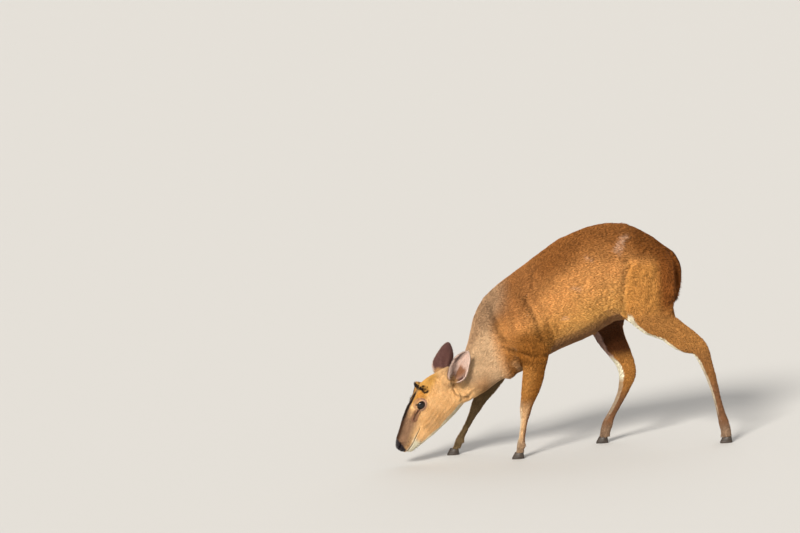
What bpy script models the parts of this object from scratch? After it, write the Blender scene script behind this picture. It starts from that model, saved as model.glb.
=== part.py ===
"""A life-size model of an adult female muntjac, standing with its head lowered to drink.

Metres, +Z up. The animal faces -X, and its left side is on -Y. Every size below is in
millimetres and is scaled once, when a shape is made. The body is modelled whole, as lofts along
the trunk, head and limbs with the main muscles laid over them, fused into one surface, and then
parted by thin cuts into named pieces that meet face to face.
"""

import math
from typing import NamedTuple

import bmesh
import bpy
from mathutils import Matrix, Vector

MM = 0.001

# Driving sizes
GAP = 0.3
SKIN_VOXEL = 2.4
SMOOTH_PASSES = 8
TRUNK_AND_LIMB_TRIANGLES = 7000
HEAD_TRIANGLES = 3000
LIMB_WEIGHT = 0.12
EYE_RADIUS = 11.0
EAR_LENGTH = 95.0
EAR_WIDTH = 48.5
HOOF_LENGTH = 31.0
HOOF_WIDTH = 12.5
CORONET_HEIGHT = 15.0
MOUTH_GAP = 0.9

# Where the head joins the neck and how it is turned, in degrees
OCCIPUT = (-262.0, -8.0, 209.0)
HEAD_PITCH = 51.0
HEAD_YAW = 11.0
HEAD_ROLL = 6.0
EYE_CENTRE = (92.0, 19.0, 28.6)
EYE_OUTWARD = (0.22, 0.16, 1.0)
EYE_OPENING = (10.4, 7.4)
KNOB_TIP = (60.0, 45.0, 25.0)
EAR_STUB = 13.0

# Where each ear is rooted, the way to its tip and the way its cup faces, in the head's axes
EAR_ROOTS = {1: (11.0, -5.0, 37.0), -1: (10.5, -12.5, -33.5)}
EAR_TIPS = {1: (-0.93, 0.16, 0.46), -1: (-0.79, 0.18, -0.585)}
EAR_FACINGS = {1: (0.3, -0.1, 1.0), -1: (0.5, 0.05, -0.8)}
EAR_RINGS = 12
EAR_STEPS = 9
EAR_CURL = 0.62
EAR_WALL = 3.2

# The line of the mouth from its corner to the lips, as (u, v) in the head's axes
MOUTH_LINE = ((139, -15.5), (150, -18.5), (168, -22), (186, -25.5), (216, -27))


class Slice(NamedTuple):
    """An oval slice of the trunk: top and bottom as (x, z), and the slice's y and half width."""

    top: tuple
    bottom: tuple
    side: float
    half_width: float


class Face(NamedTuple):
    """A slice of the head at a distance u from the occiput towards the nose."""

    u: float
    top: float
    top_half: float
    middle: float
    middle_half: float
    low_half: float
    bottom: float


class Girth(NamedTuple):
    """A limb's thickness: bone number and share along it, reach forward and back, half width."""

    bone: int
    share: float
    forward: float
    back: float
    half_width: float


# From the buttocks to the nape
TRUNK = (
    Slice((305, 436), (303, 366), 0, 32),
    Slice((295, 467), (292, 333), 0, 54),
    Slice((268, 495), (260, 308), 0, 68),
    Slice((233, 518), (225, 302), 0, 75),
    Slice((191, 539), (190, 308), 0, 79),
    Slice((138, 541), (152, 303), 0, 85),
    Slice((85, 532), (111, 280), 0, 89),
    Slice((28, 509), (64, 262), 0, 88),
    Slice((-28, 474), (17, 246), 0, 81),
    Slice((-81, 441), (-31, 224), 0, 69),
    Slice((-124, 415), (-76, 200), 0, 59),
    Slice((-158, 386), (-111, 189), 0, 50),
    Slice((-180, 352), (-138, 177), 0, 44),
    Slice((-193, 314), (-161, 162), -2, 40),
    Slice((-202, 279), (-186, 149), -4, 37),
    Slice((-216, 247), (-209, 140), -6, 35),
    Slice((-236, 224), (-233, 130), -8, 33),
)

# From the back of the skull to the tip of the nose
HEAD = (
    Face(-18, 3, 15, -32, 29, 20, -76),
    Face(8, 17, 18, -22, 34, 24, -80),
    Face(32, 29, 20, -15, 37, 26, -81),
    Face(57, 36, 21, -8, 38.5, 26, -79),
    Face(78, 36, 20, 2, 39, 22, -76),
    Face(98, 33.5, 17, 6, 37, 17.5, -72),
    Face(118, 31.5, 13.5, -1, 30, 14, -67),
    Face(140, 27, 12, -8, 24.5, 13, -61),
    Face(160, 20.5, 11, -11, 21, 12.5, -54),
    Face(178, 14.5, 11, -11, 19, 12, -47.5),
    Face(194, 9.5, 11, -9, 17.5, 11, -40),
    Face(206, 3.5, 9, -9, 14, 8, -28),
    Face(213, -4, 5.5, -11, 8.5, 5, -18),
)

# Limb joints: top of the limb, elbow or thigh, carpus or hock, fetlock, coronet
FORE_LEFT = ((-62, -44, 407), (-48, -60, 244), (-77, -61, 112), (-93, -62, 36), (-98, -62, 12))
FORE_RIGHT = ((-84, 44, 392), (-114, 61, 244), (-192, 65, 112), (-237, 67, 36), (-248, 67, 12))
HIND_LEFT = ((252, -34, 486), (232, -56, 335), (347, -59, 226), (393, -65, 48), (396, -66, 12))
HIND_RIGHT = ((246, 34, 486), (136, 56, 325), (174, 60, 166), (120, 68, 46), (111, 69, 12))

# The front of the near shin, which stands out from the stretched leg
SHIN_LEFT = ((262, -57, 266), (334, -59, 223))

# Where each limb is parted from the torso: the height, and how far the cut runs fore and aft
LIMB_CUTS = ((FORE_LEFT, 208, 46), (FORE_RIGHT, 212, 44), (HIND_LEFT, 288, 92), (HIND_RIGHT, 274, 52))

# The middle of the tail from its root, and the share of it that belongs to the torso
TAIL_LINE = (
    (268, 0, 472),
    (284, 0, 465),
    (297, 0, 452),
    (307, 0, 433),
    (311, 0, 408),
    (308, 0, 376),
    (301, 0, 347),
)
TAIL_CUT = 0.22

# Where thin cuts part the head from the neck and the neck from the torso
NECK_CUTS = (
    ((-229, -8, 182), (-0.86, 0, -0.5), (62, 74)),
    ((-148, 0, 275), (-0.62, 0, -0.26), (90, 118)),
)

# Half sizes of the cuts through the limbs, across and fore and aft
UPPER_CUT_HALF_WIDTH = 47
UPPER_CUT_SIDE = 52
LOWER_CUT = (26, 42)

FORE_GIRTHS = (
    Girth(0, 0.0, 24, 24, 12),
    Girth(0, 0.23, 44, 42, 21),
    Girth(0, 0.52, 58, 54, 26),
    Girth(0, 0.8, 50, 50, 26),
    Girth(1, 0.0, 34, 39, 23),
    Girth(1, 0.17, 25, 32, 21),
    Girth(1, 0.36, 23, 30, 18.5),
    Girth(1, 0.57, 20, 25, 16),
    Girth(1, 0.76, 17, 19, 13.5),
    Girth(1, 0.9, 15.5, 15.5, 12.5),
    Girth(2, 0.0, 14, 14.5, 12),
    Girth(2, 0.2, 9.5, 11, 9.5),
    Girth(2, 0.5, 7.5, 9, 8.5),
    Girth(2, 0.8, 8, 9, 9),
    Girth(3, 0.0, 9.5, 11, 11.5),
    Girth(3, 0.5, 8.5, 9.5, 11.5),
    Girth(3, 1.0, 10, 9.5, 12.5),
)

HIND_GIRTHS = (
    Girth(0, 0.0, 34, 34, 24),
    Girth(0, 0.33, 66, 64, 37),
    Girth(0, 0.66, 70, 66, 37),
    Girth(0, 0.93, 64, 60, 32),
    Girth(1, 0.2, 51, 43, 26),
    Girth(1, 0.36, 41, 36, 22),
    Girth(1, 0.52, 33, 31, 19),
    Girth(1, 0.7, 26, 27, 16.5),
    Girth(1, 0.86, 21, 26, 14.5),
    Girth(2, 0.0, 18, 25, 14),
    Girth(2, 0.1, 16, 22, 13.5),
    Girth(2, 0.2, 14.5, 17.5, 12.5),
    Girth(2, 0.34, 12, 14, 11.5),
    Girth(2, 0.5, 10, 11.5, 10.5),
    Girth(2, 0.7, 9.5, 10.5, 10),
    Girth(2, 0.88, 10.5, 12, 10.8),
    Girth(3, 0.0, 12, 14, 12.5),
    Girth(3, 0.5, 12, 13, 12),
    Girth(3, 1.0, 12.5, 12, 13),
)


def clear_scene() -> None:
    """Remove every object of the start scene."""
    for item in list(bpy.data.objects):
        bpy.data.objects.remove(item, do_unlink=True)


def catmull(points: list, count: int, closed: bool = False) -> list:
    """Return the smooth curve through the points, with count steps between each two."""
    total = len(points)
    curve = []
    for index in range(total if closed else total - 1):
        if closed:
            four = [points[(index + step) % total] for step in (-1, 0, 1, 2)]
        else:
            four = [points[min(max(index + step, 0), total - 1)] for step in (-1, 0, 1, 2)]
        before, start, end, after = (Vector(point) for point in four)
        for step in range(count):
            t = step / count
            value = 2 * start + (end - before) * t
            value += (2 * before - 5 * start + 4 * end - after) * t * t
            value += (3 * start - before - 3 * end + after) * t ** 3
            curve.append(value / 2)
    if not closed:
        curve.append(Vector(points[-1]))
    return curve


def new_object(name: str, mesh_maker: bmesh.types.BMesh) -> bpy.types.Object:
    """Turn a finished bmesh, in millimetres, into an object in metres."""
    bmesh.ops.scale(mesh_maker, vec=(MM, MM, MM), verts=mesh_maker.verts)
    bmesh.ops.recalc_face_normals(mesh_maker, faces=mesh_maker.faces)
    mesh = bpy.data.meshes.new(name)
    mesh_maker.to_mesh(mesh)
    mesh_maker.free()
    item = bpy.data.objects.new(name, mesh)
    bpy.context.scene.collection.objects.link(item)
    return item


def loft(name: str, rings: list) -> bpy.types.Object:
    """Bridge closed rings of equally many points into one closed shape with capped ends."""
    shape = bmesh.new()
    loops = []
    last = len(rings) - 1
    for number, ring in enumerate(rings):
        made = bmesh.ops.create_circle(shape, segments=len(ring), cap_ends=number in (0, last))
        for vert, point in zip(made["verts"], ring):
            vert.co = point
        loops.append({edge for vert in made["verts"] for edge in vert.link_edges})
    for first, second in zip(loops, loops[1:]):
        bmesh.ops.bridge_loops(shape, edges=list(first | second))
    bmesh.ops.triangulate(shape, faces=shape.faces)
    return new_object(name, shape)


def ellipsoid(name: str, centre: Vector, radii: tuple, turn: Matrix) -> bpy.types.Object:
    """Return an ellipsoid with its radii along the columns of turn."""
    shape = bmesh.new()
    place = Matrix.Translation(centre) @ turn.to_4x4() @ Matrix.Diagonal((*radii, 1))
    bmesh.ops.create_icosphere(shape, subdivisions=3, radius=1, matrix=place)
    return new_object(name, shape)


def frame_along(axis: Vector, side: Vector) -> Matrix:
    """Return a turn whose columns are the axis, a side square to it, and the third direction."""
    forward = axis.normalized()
    third = forward.cross(side).normalized()
    return Matrix((forward, third.cross(forward), third)).transposed()


def head_place() -> Matrix:
    """Return the matrix from the head's own axes (u to the nose, v up, w left) to the model's."""
    pitch, yaw, roll = (math.radians(angle) for angle in (HEAD_PITCH, HEAD_YAW, HEAD_ROLL))
    level = Vector((-math.cos(yaw), -math.sin(yaw), 0))
    up = Vector((0, 0, 1))
    nose = math.cos(pitch) * level - math.sin(pitch) * up
    crown = math.sin(pitch) * level + math.cos(pitch) * up
    left = crown.cross(nose)
    top = math.cos(roll) * crown + math.sin(roll) * left
    side = math.cos(roll) * left - math.sin(roll) * crown
    return Matrix.Translation(OCCIPUT) @ Matrix((nose, top, side)).transposed().to_4x4()


HEAD_PLACE = head_place()


def on_head(u: float, v: float, w: float) -> Vector:
    """Return the model point of a place given in the head's own axes."""
    return HEAD_PLACE @ Vector((u, v, w))


def trunk_loft() -> bpy.types.Object:
    """Loft the trunk and neck from the buttocks to the nape, a little fuller below than above."""
    rows = [(*cut.top, *cut.bottom, cut.side, cut.half_width) for cut in TRUNK]
    tops = catmull([(row[0], row[4], row[1]) for row in rows], 3)
    bottoms = catmull([(row[2], row[4], row[3]) for row in rows], 3)
    halves = catmull([(row[5], 0, 0) for row in rows], 3)
    rings = []
    for top, bottom, half in zip(tops, bottoms, halves):
        ring = []
        for step in range(32):
            angle = 2 * math.pi * step / 32
            rise = math.cos(angle)
            out = math.sin(angle) * (1 - 0.1 * rise)
            point = (top + bottom) / 2 + (top - bottom) / 2 * rise
            ring.append(point + Vector((0, half.x * out, 0)))
        rings.append(ring)
    return loft("trunk", rings)


def head_loft() -> bpy.types.Object:
    """Loft the head: flat brow, full cheeks and a narrow jaw, tapering to the nose."""
    rings = []
    for row in catmull_rows(HEAD, 3):
        cut = Face(*row)
        shoulder = cut.top - 0.12 * (cut.top - cut.middle)
        jowl = cut.bottom + 0.25 * (cut.middle - cut.bottom)
        right = [(shoulder, cut.top_half), (cut.middle, cut.middle_half), (jowl, cut.low_half)]
        outline = [(cut.top, 0)] + right + [(cut.bottom, 0)]
        outline += [(height, -half) for height, half in reversed(right)]
        curve = catmull([(height, half, 0) for height, half in outline], 4, closed=True)
        rings.append([on_head(cut.u, point.x, point.y) for point in curve])
    return loft("skull", rings)


def catmull_rows(rows: tuple, count: int) -> list:
    """Return smooth rows of numbers between rows of numbers of any length."""
    columns = list(zip(*rows))
    smooth = []
    for column in columns:
        curve = catmull([(value, 0, 0) for value in column], count)
        smooth.append([point.x for point in curve])
    return list(zip(*smooth))


def limb_loft(name: str, joints: tuple, girths: tuple) -> bpy.types.Object:
    """Loft a limb along its joints, each ring square to the limb in the side view."""
    line = catmull(list(joints), 12)
    last = len(line) - 1
    sizes = [(cut.bone + cut.share, cut.forward, cut.back, cut.half_width) for cut in girths]
    rows = catmull_rows(sizes, 3)
    rings = []
    for along, forward, back, half in rows:
        place = min(max(along * 12, 0), last)
        index = min(int(place), last - 1)
        centre = line[index].lerp(line[index + 1], place - index)
        ahead = line[min(index + 3, last)]
        behind = line[max(index - 2, 0)]
        down = (ahead - behind).normalized()
        front = Vector((0, 1, 0)).cross(down).normalized()
        if front.x > 0:
            front = -front
        side = down.cross(front)
        ring = []
        for step in range(20):
            angle = 2 * math.pi * step / 20
            reach = forward if math.cos(angle) > 0 else back
            ring.append(centre + front * reach * math.cos(angle) + side * half * math.sin(angle))
        rings.append(ring)
    return loft(name, rings)


def taper(name: str, start: Vector, end: Vector, radii: tuple) -> bpy.types.Object:
    """Return a round bar from start to end whose radius follows the radii, with domed ends."""
    axis = end - start
    turn = frame_along(axis, Vector((0.1, 1, 0.2)))
    rings = []
    smooth = catmull([(radius, 0, 0) for radius in radii], 4)
    for number, radius in enumerate(smooth):
        share = number / (len(smooth) - 1)
        dome = math.sqrt(max(1 - (2 * share - 1) ** 6, 0.02))
        ring = []
        for step in range(14):
            angle = 2 * math.pi * step / 14
            around = turn.col[1] * math.cos(angle) + turn.col[2] * math.sin(angle)
            ring.append(start + axis * share + around * radius.x * dome)
        rings.append(ring)
    return loft(name, rings)


def muscles() -> list:
    """Return the muscles and bones that show under the skin of the trunk and limbs."""
    upright = Matrix.Identity(3)
    shin_top, shin_foot = (Vector(point) for point in SHIN_LEFT)
    parts = [taper("shin", shin_top, shin_foot, (12, 13.5, 13, 11))]
    for side in (-1, 1):
        fore = FORE_LEFT if side < 0 else FORE_RIGHT
        hind = HIND_LEFT if side < 0 else HIND_RIGHT
        shoulder = Vector((fore[0][0], side * 52, fore[0][2]))
        point = Vector((fore[1][0] - 58, side * 44, fore[1][2] + 42))
        elbow = Vector((fore[1][0] + 22, side * 58, fore[1][2] + 12))
        parts.append(taper("shoulder_blade", shoulder + Vector((20, 0, 30)), point, (16, 24, 25, 20)))
        parts.append(taper("upper_arm", point, elbow, (20, 24, 22, 17)))
        parts.append(taper("triceps", shoulder + Vector((38, 6 * side, -40)), elbow, (18, 27, 24, 14)))
        parts.append(ellipsoid("breast", Vector((-112, side * 16, 218)), (28, 21, 32), upright))
        hip = Vector((262, side * 46, 455))
        stifle = Vector((hind[1][0] - 42, side * 58, hind[1][2] + 6))
        seat = Vector((hind[1][0] + 51, side * 57, hind[1][2] + 3))
        parts.append(taper("buttock", hip, seat, (20, 31, 30, 20)))
        way = (Vector(hind[2]) - Vector(hind[1])).normalized()
        hollow = Vector((hind[1][0] + 40, side * 57, hind[1][2] + 15))
        tendon = Vector(hind[1]) + way * 45 + Vector((11, 0, -4))
        tendon.y = side * 58
        parts.append(taper("hamstring", hollow, tendon, (18, 22, 22, 16)))
        parts.append(taper("thigh", hip + Vector((-30, 0, -6)), stifle, (22, 33, 30, 20)))
        parts.append(ellipsoid("hip_point", Vector((186, side * 46, 508)), (24, 18, 16), upright))
        calf = Vector(hind[1]).lerp(Vector(hind[2]), 0.5)
        for joints in (fore, hind):
            heel = Vector(joints[3]) + Vector((9, 0, -5))
            for spread in (-6, 6):
                claw = heel + Vector((0, spread, 0))
                parts.append(ellipsoid("dewclaw", claw, (4, 3.6, 6), upright))
        calf_top = stifle + Vector((26, 0, -14))
        parts.append(taper("calf", calf_top, calf + Vector((6, 0, 4)), (22, 24, 20, 14)))
    return parts


def face_parts() -> list:
    """Return the orbits, cheek bones, brow ridges, crown knobs, lips, chin and ear roots."""
    parts = []
    axes = HEAD_PLACE.to_3x3()
    for side in (-1, 1):
        u, v, w = EYE_CENTRE
        eye = on_head(u, v, side * w)
        sizes = (EYE_RADIUS + 3.4, EYE_RADIUS + 1.2, EYE_RADIUS + 1.9)
        parts.append(ellipsoid("lids", eye, sizes, axes))
        parts.append(ellipsoid("orbit", on_head(u - 4, v, side * (w - 8)), (24, 11, 16), axes))
        knob_root = on_head(56, 28, side * 20)
        knob = on_head(*KNOB_TIP[:2], side * KNOB_TIP[2])
        parts.append(taper("knob", knob_root, knob, (9.5, 8, 6.5, 4)))
        ridge_top = on_head(58, 33, side * 20)
        parts.append(taper("brow_ridge", ridge_top, on_head(128, 26, side * 8), (7.5, 6.5, 5, 3.5)))
        cheek = on_head(24, -14, side * 31)
        parts.append(taper("cheek_bone", on_head(104, 2, side * 30), cheek, (6, 8, 8, 8)))
        parts.append(ellipsoid("jowl", on_head(34, -42, side * 22), (34, 26, 13), axes))
        corner = on_head(146, -17, side * 17)
        parts.append(taper("lip", corner, on_head(199, -24, side * 8), (5, 7, 7, 5)))
        parts.append(ellipsoid("nostril_wing", on_head(197, -5, side * 10), (9, 7.5, 6), axes))
        root = on_head(*EAR_ROOTS[side])
        tip, _ = ear_directions(side)
        deep = on_head(EAR_ROOTS[side][0] + 12, EAR_ROOTS[side][1] - 2, side * 20)
        stub = root + tip * (EAR_STUB + 6)
        parts.append(taper("ear_root", deep, stub, (15, 15.5, 13.2, 12.3)))
    parts.append(ellipsoid("chin", on_head(188, -35, 0), (15, 7, 10.5), axes))
    return parts


def ear_directions(side: int) -> tuple:
    """Return an ear's direction to its tip and the way its cup faces, left ear for side 1."""
    axes = HEAD_PLACE.to_3x3()
    tip = (axes @ Vector(EAR_TIPS[side])).normalized()
    facing = axes @ Vector(EAR_FACINGS[side])
    facing -= tip * facing.dot(tip)
    return tip, facing.normalized()


def modified(item: bpy.types.Object, kind: str, **settings) -> None:
    """Add a modifier to the object with these settings and apply it."""
    modifier = item.modifiers.new(kind.lower(), kind)
    for key, value in settings.items():
        setattr(modifier, key, value)
    graph = bpy.context.evaluated_depsgraph_get()
    mesh = bpy.data.meshes.new_from_object(item.evaluated_get(graph))
    item.modifiers.clear()
    old = item.data
    item.data = mesh
    bpy.data.meshes.remove(old)


def joined(name: str, items: list) -> bpy.types.Object:
    """Put the meshes of the items into one object, as separate shells, and remove the items."""
    shape = bmesh.new()
    for item in items:
        shape.from_mesh(item.data)
        bpy.data.objects.remove(item, do_unlink=True)
    mesh = bpy.data.meshes.new(name)
    shape.to_mesh(mesh)
    shape.free()
    whole = bpy.data.objects.new(name, mesh)
    bpy.context.scene.collection.objects.link(whole)
    return whole


def cut_away(item: bpy.types.Object, cutters: list) -> None:
    """Take the cutters away from the item and remove them."""
    group = bpy.data.collections.new("cutters")
    bpy.context.scene.collection.children.link(group)
    for cutter in cutters:
        cutter.hide_render = True
        cutter.display_type = "WIRE"
        bpy.context.scene.collection.objects.unlink(cutter)
        group.objects.link(cutter)
    modified(item, "BOOLEAN", operation="DIFFERENCE", operand_type="COLLECTION", collection=group)
    for cutter in cutters:
        bpy.data.objects.remove(cutter, do_unlink=True)
    bpy.data.collections.remove(group)


def merged(item: bpy.types.Object, parts: list) -> None:
    """Fuse the parts into the item and remove them."""
    group = bpy.data.collections.new("parts")
    bpy.context.scene.collection.children.link(group)
    for part in parts:
        bpy.context.scene.collection.objects.unlink(part)
        group.objects.link(part)
    modified(item, "BOOLEAN", operation="UNION", operand_type="COLLECTION", collection=group)
    for part in parts:
        bpy.data.objects.remove(part, do_unlink=True)
    bpy.data.collections.remove(group)


def loose_parts(item: bpy.types.Object) -> list:
    """Split the item into its closed surfaces, as a list of (volume, centre, bmesh)."""
    shape = bmesh.new()
    shape.from_mesh(item.data)
    bmesh.ops.remove_doubles(shape, verts=shape.verts, dist=1e-7)
    bmesh.ops.triangulate(shape, faces=shape.faces)
    waiting = set(shape.verts)
    groups = []
    while waiting:
        start = waiting.pop()
        group = {start}
        border = [start]
        while border:
            for link in border.pop().link_edges:
                found = set(link.verts) - group
                group |= found
                border += found
        waiting -= group
        groups.append([vert.index for vert in group])
    parts = []
    for group in groups:
        kept = shape.copy()
        kept.verts.ensure_lookup_table()
        keep = set(group)
        others = [vert for vert in kept.verts if vert.index not in keep]
        bmesh.ops.delete(kept, geom=others, context="VERTS")
        centre = sum((vert.co for vert in kept.verts), Vector()) / len(kept.verts)
        parts.append((kept.calc_volume(), centre, kept))
    shape.free()
    return sorted(parts, key=lambda part: -part[0])


def keep_largest(item: bpy.types.Object) -> None:
    """Keep only the item's largest closed surface."""
    parts = loose_parts(item)
    parts[0][2].to_mesh(item.data)
    for part in parts:
        part[2].free()


def slab(centre: Vector, normal: Vector, along: Vector, sizes: tuple) -> bpy.types.Object:
    """Return a flat box one gap thick, square to the normal, with half sizes along and across."""
    shape = bmesh.new()
    place = Matrix.Translation(centre) @ frame_along(normal, along).to_4x4()
    size = Matrix.Diagonal((GAP, 2 * sizes[0], 2 * sizes[1], 1))
    bmesh.ops.create_cube(shape, size=1, matrix=place @ size)
    return new_object("slab", shape)


def block(lowest: tuple, highest: tuple) -> bpy.types.Object:
    """Return a box between two corners."""
    shape = bmesh.new()
    centre = (Vector(lowest) + Vector(highest)) / 2
    size = Vector(highest) - Vector(lowest)
    place = Matrix.Translation(centre) @ Matrix.Diagonal((*size, 1))
    bmesh.ops.create_cube(shape, size=1, matrix=place)
    return new_object("block", shape)


def whole_body() -> bpy.types.Object:
    """Fuse the lofts and muscles into one smooth surface and thin out its triangles."""
    parts = [trunk_loft(), head_loft()]
    parts.append(limb_loft("fore_left", FORE_LEFT, FORE_GIRTHS))
    parts.append(limb_loft("fore_right", FORE_RIGHT, FORE_GIRTHS))
    parts.append(limb_loft("hind_left", HIND_LEFT, HIND_GIRTHS))
    parts.append(limb_loft("hind_right", HIND_RIGHT, HIND_GIRTHS))
    parts += muscles() + face_parts()
    parts.append(tail_dock())
    body = joined("body", parts)
    modified(body, "REMESH", mode="VOXEL", voxel_size=SKIN_VOXEL * MM)
    modified(body, "SMOOTH", factor=0.5, iterations=SMOOTH_PASSES)
    keep_largest(body)
    thin_out(body)
    return body


def thin_out(body: bpy.types.Object) -> None:
    """Thin the trunk and limbs, then the head, each to its own count of triangles."""
    inverse = HEAD_PLACE.inverted()
    for head_turn in (False, True):
        group = body.vertex_groups.new(name="thinned")
        places = []
        for vert in body.data.vertices:
            u, v, w = inverse @ (vert.co / MM)
            in_head = u > -6 and abs(w) < 62 and abs(v) < 90
            places.append(in_head)
            limb = vert.co.z < 0.29 and not (-0.3 < vert.co.x < -0.2 and vert.co.z > 0.12)
            weight = LIMB_WEIGHT if limb and not in_head else 1.0
            group.add([vert.index], weight if in_head == head_turn else 0.0, "REPLACE")
        still = 0
        for polygon in body.data.polygons:
            if all(places[index] != head_turn for index in polygon.vertices):
                still += len(polygon.vertices) - 2
        count = sum(len(polygon.vertices) - 2 for polygon in body.data.polygons)
        wanted = HEAD_TRIANGLES if head_turn else TRUNK_AND_LIMB_TRIANGLES
        modified(
            body,
            "DECIMATE",
            ratio=(wanted + still) / count,
            vertex_group="thinned",
            vertex_group_factor=1.0,
            use_collapse_triangulate=True,
        )
        body.vertex_groups.clear()




def tail_rings(start: float, end: float, grown: float = 0.0) -> list:
    """Return the rings of the tail's loft between two shares of its line, grown outwards."""
    line = catmull(list(TAIL_LINE), 3)
    last = len(line) - 1
    count = max(int((end - start) * last), 3)
    rings = []
    for number in range(count + 1):
        share = start + (end - start) * number / count
        place = min(share * last, last - 1e-6)
        index = int(place)
        centre = line[index].lerp(line[index + 1], place - index)
        down = (line[index + 1] - line[index]).normalized()
        out = Vector((0, 1, 0)).cross(down)
        full = math.sin(math.pi * (0.86 * share + 0.13)) ** 0.7
        half_width = 6 + 15 * full + grown
        half_thick = 3 + 8 * full + grown
        if number == 0:
            centre = centre - down * grown
        ring = []
        for step in range(12):
            angle = 2 * math.pi * step / 12
            flat = out * half_thick * math.cos(angle)
            ring.append(centre + flat + Vector((0, half_width * math.sin(angle), 0)))
        rings.append(ring)
    return rings


def tail_dock() -> bpy.types.Object:
    """Return the short root of the tail that stays with the torso."""
    return loft("dock", tail_rings(0, 0.3))


def tail(name: str, grown: float = 0.0) -> bpy.types.Object:
    """Return the tail, hanging down behind the rump, from the cut at its root."""
    return loft(name, tail_rings(TAIL_CUT, 1.0, grown))


def part_body(body: bpy.types.Object) -> dict:
    """Part the body by thin cuts and return its pieces by name."""
    side = Vector((0, 1, 0))
    down = Vector((0, 0, 1))
    cutters = [slab(Vector(centre), Vector(normal), side, sizes) for centre, normal, sizes in NECK_CUTS]
    for joints, level, reach in LIMB_CUTS:
        line = catmull(list(joints), 12)
        top = min(line, key=lambda point: abs(point.z - level))
        out = math.copysign(1, joints[0][1])
        centre = Vector((top.x, out * UPPER_CUT_SIDE, level))
        cutters.append(slab(centre, down, side, (UPPER_CUT_HALF_WIDTH, reach)))
        middle = Vector(joints[2])
        normal = (Vector(joints[1]) - middle).normalized() + (middle - Vector(joints[3])).normalized()
        cutters.append(slab(middle, normal, side, LOWER_CUT))
    cut_away(body, cutters)
    feet = [block((-300, -120, -20), (450, 120, CORONET_HEIGHT))]
    cut_away(body, feet)
    places = {"neck": (-190, 0, 230), "head": on_head(100, 0, 0)}
    for name, joints in limbs().items():
        places[f"{name}_upper"] = Vector(joints[1]).lerp(Vector(joints[2]), 0.6)
        places[f"{name}_lower"] = Vector(joints[2]).lerp(Vector(joints[3]), 0.6)
    pieces = {}
    for volume, centre, shape in loose_parts(body):
        name = min(places, key=lambda key: (Vector(places[key]) - centre / MM).length)
        if not pieces:
            name = "torso"
        if name in pieces or volume < 1e-6:
            shape.free()
            continue
        mesh = bpy.data.meshes.new(name)
        shape.to_mesh(mesh)
        shape.free()
        pieces[name] = bpy.data.objects.new(name, mesh)
        bpy.context.scene.collection.objects.link(pieces[name])
    bpy.data.objects.remove(body, do_unlink=True)
    return pieces


def limbs() -> dict:
    """Return the joints of each limb by its name."""
    return {
        "leg_fore_left": FORE_LEFT,
        "leg_fore_right": FORE_RIGHT,
        "leg_hind_left": HIND_LEFT,
        "leg_hind_right": HIND_RIGHT,
    }


def eye_matrix(side: int) -> Matrix:
    """Return the place of an eye, its z axis looking out through the lids."""
    axes = HEAD_PLACE.to_3x3()
    u, v, w = EYE_CENTRE
    out = axes @ Vector((EYE_OUTWARD[0], EYE_OUTWARD[1], side * EYE_OUTWARD[2]))
    corner = axes @ Vector((1, -0.28, 0))
    turn = frame_along(out, corner)
    order = Matrix((turn.col[1], turn.col[2], turn.col[0])).transposed()
    return Matrix.Translation(on_head(u, v, side * w)) @ order.to_4x4()


def ball(name: str, radius: float, place: Matrix) -> bpy.types.Object:
    """Return a sphere of the radius at a place."""
    shape = bmesh.new()
    bmesh.ops.create_uvsphere(shape, u_segments=16, v_segments=10, radius=radius, matrix=place)
    bmesh.ops.triangulate(shape, faces=shape.faces)
    return new_object(name, shape)


def almond(side: int) -> bpy.types.Object:
    """Return the cutter that opens the lids: an almond outline drawn out along the eye's axis."""
    place = eye_matrix(side)
    rings = []
    for reach, grow in ((5.0, 0.8), (EYE_RADIUS, 1.0), (EYE_RADIUS + 12, 1.35)):
        ring = []
        for step in range(20):
            angle = 2 * math.pi * step / 20
            long = EYE_OPENING[0] * math.cos(angle)
            high = EYE_OPENING[1] * math.sin(angle) * (1 - 0.28 * abs(math.cos(angle)) ** 3)
            ring.append(place @ Vector((long * grow, high * grow, reach)))
        rings.append(ring)
    return loft("almond", rings)


def mouth_blade() -> bpy.types.Object:
    """Return the thin curved blade that opens the line of the mouth, up to its corners."""
    line = catmull([(u, v, 0) for u, v in MOUTH_LINE], 4)
    rings = []
    for number, point in enumerate(line):
        half = MOUTH_GAP / 2 * min(1, 0.3 + number / 4)
        corners = ((half, 40), (half, -40), (-half, -40), (-half, 40))
        rings.append([on_head(point.x, point.y + rise, out) for rise, out in corners])
    return loft("blade", rings)


def face_cutters() -> list:
    """Return the nostrils and the slits of the scent glands before the eyes."""
    cutters = [mouth_blade()]
    axes = HEAD_PLACE.to_3x3()
    for side in (-1, 1):
        slit_back = on_head(112, 13, side * 31)
        slit_front = on_head(131, 8, side * 25)
        turn = frame_along(slit_front - slit_back, axes @ Vector((0, 1, 0)))
        cutters.append(ellipsoid("gland", (slit_back + slit_front) / 2, (10.5, 2.4, 4.5), turn))
        nostril = frame_along(axes @ Vector((1, -0.5, 0.25 * side)), axes @ Vector((0.4, 1, 0)))
        cutters.append(ellipsoid("nostril", on_head(200.5, -4, side * 11.5), (4.6, 2.2, 5), nostril))
    return cutters


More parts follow.
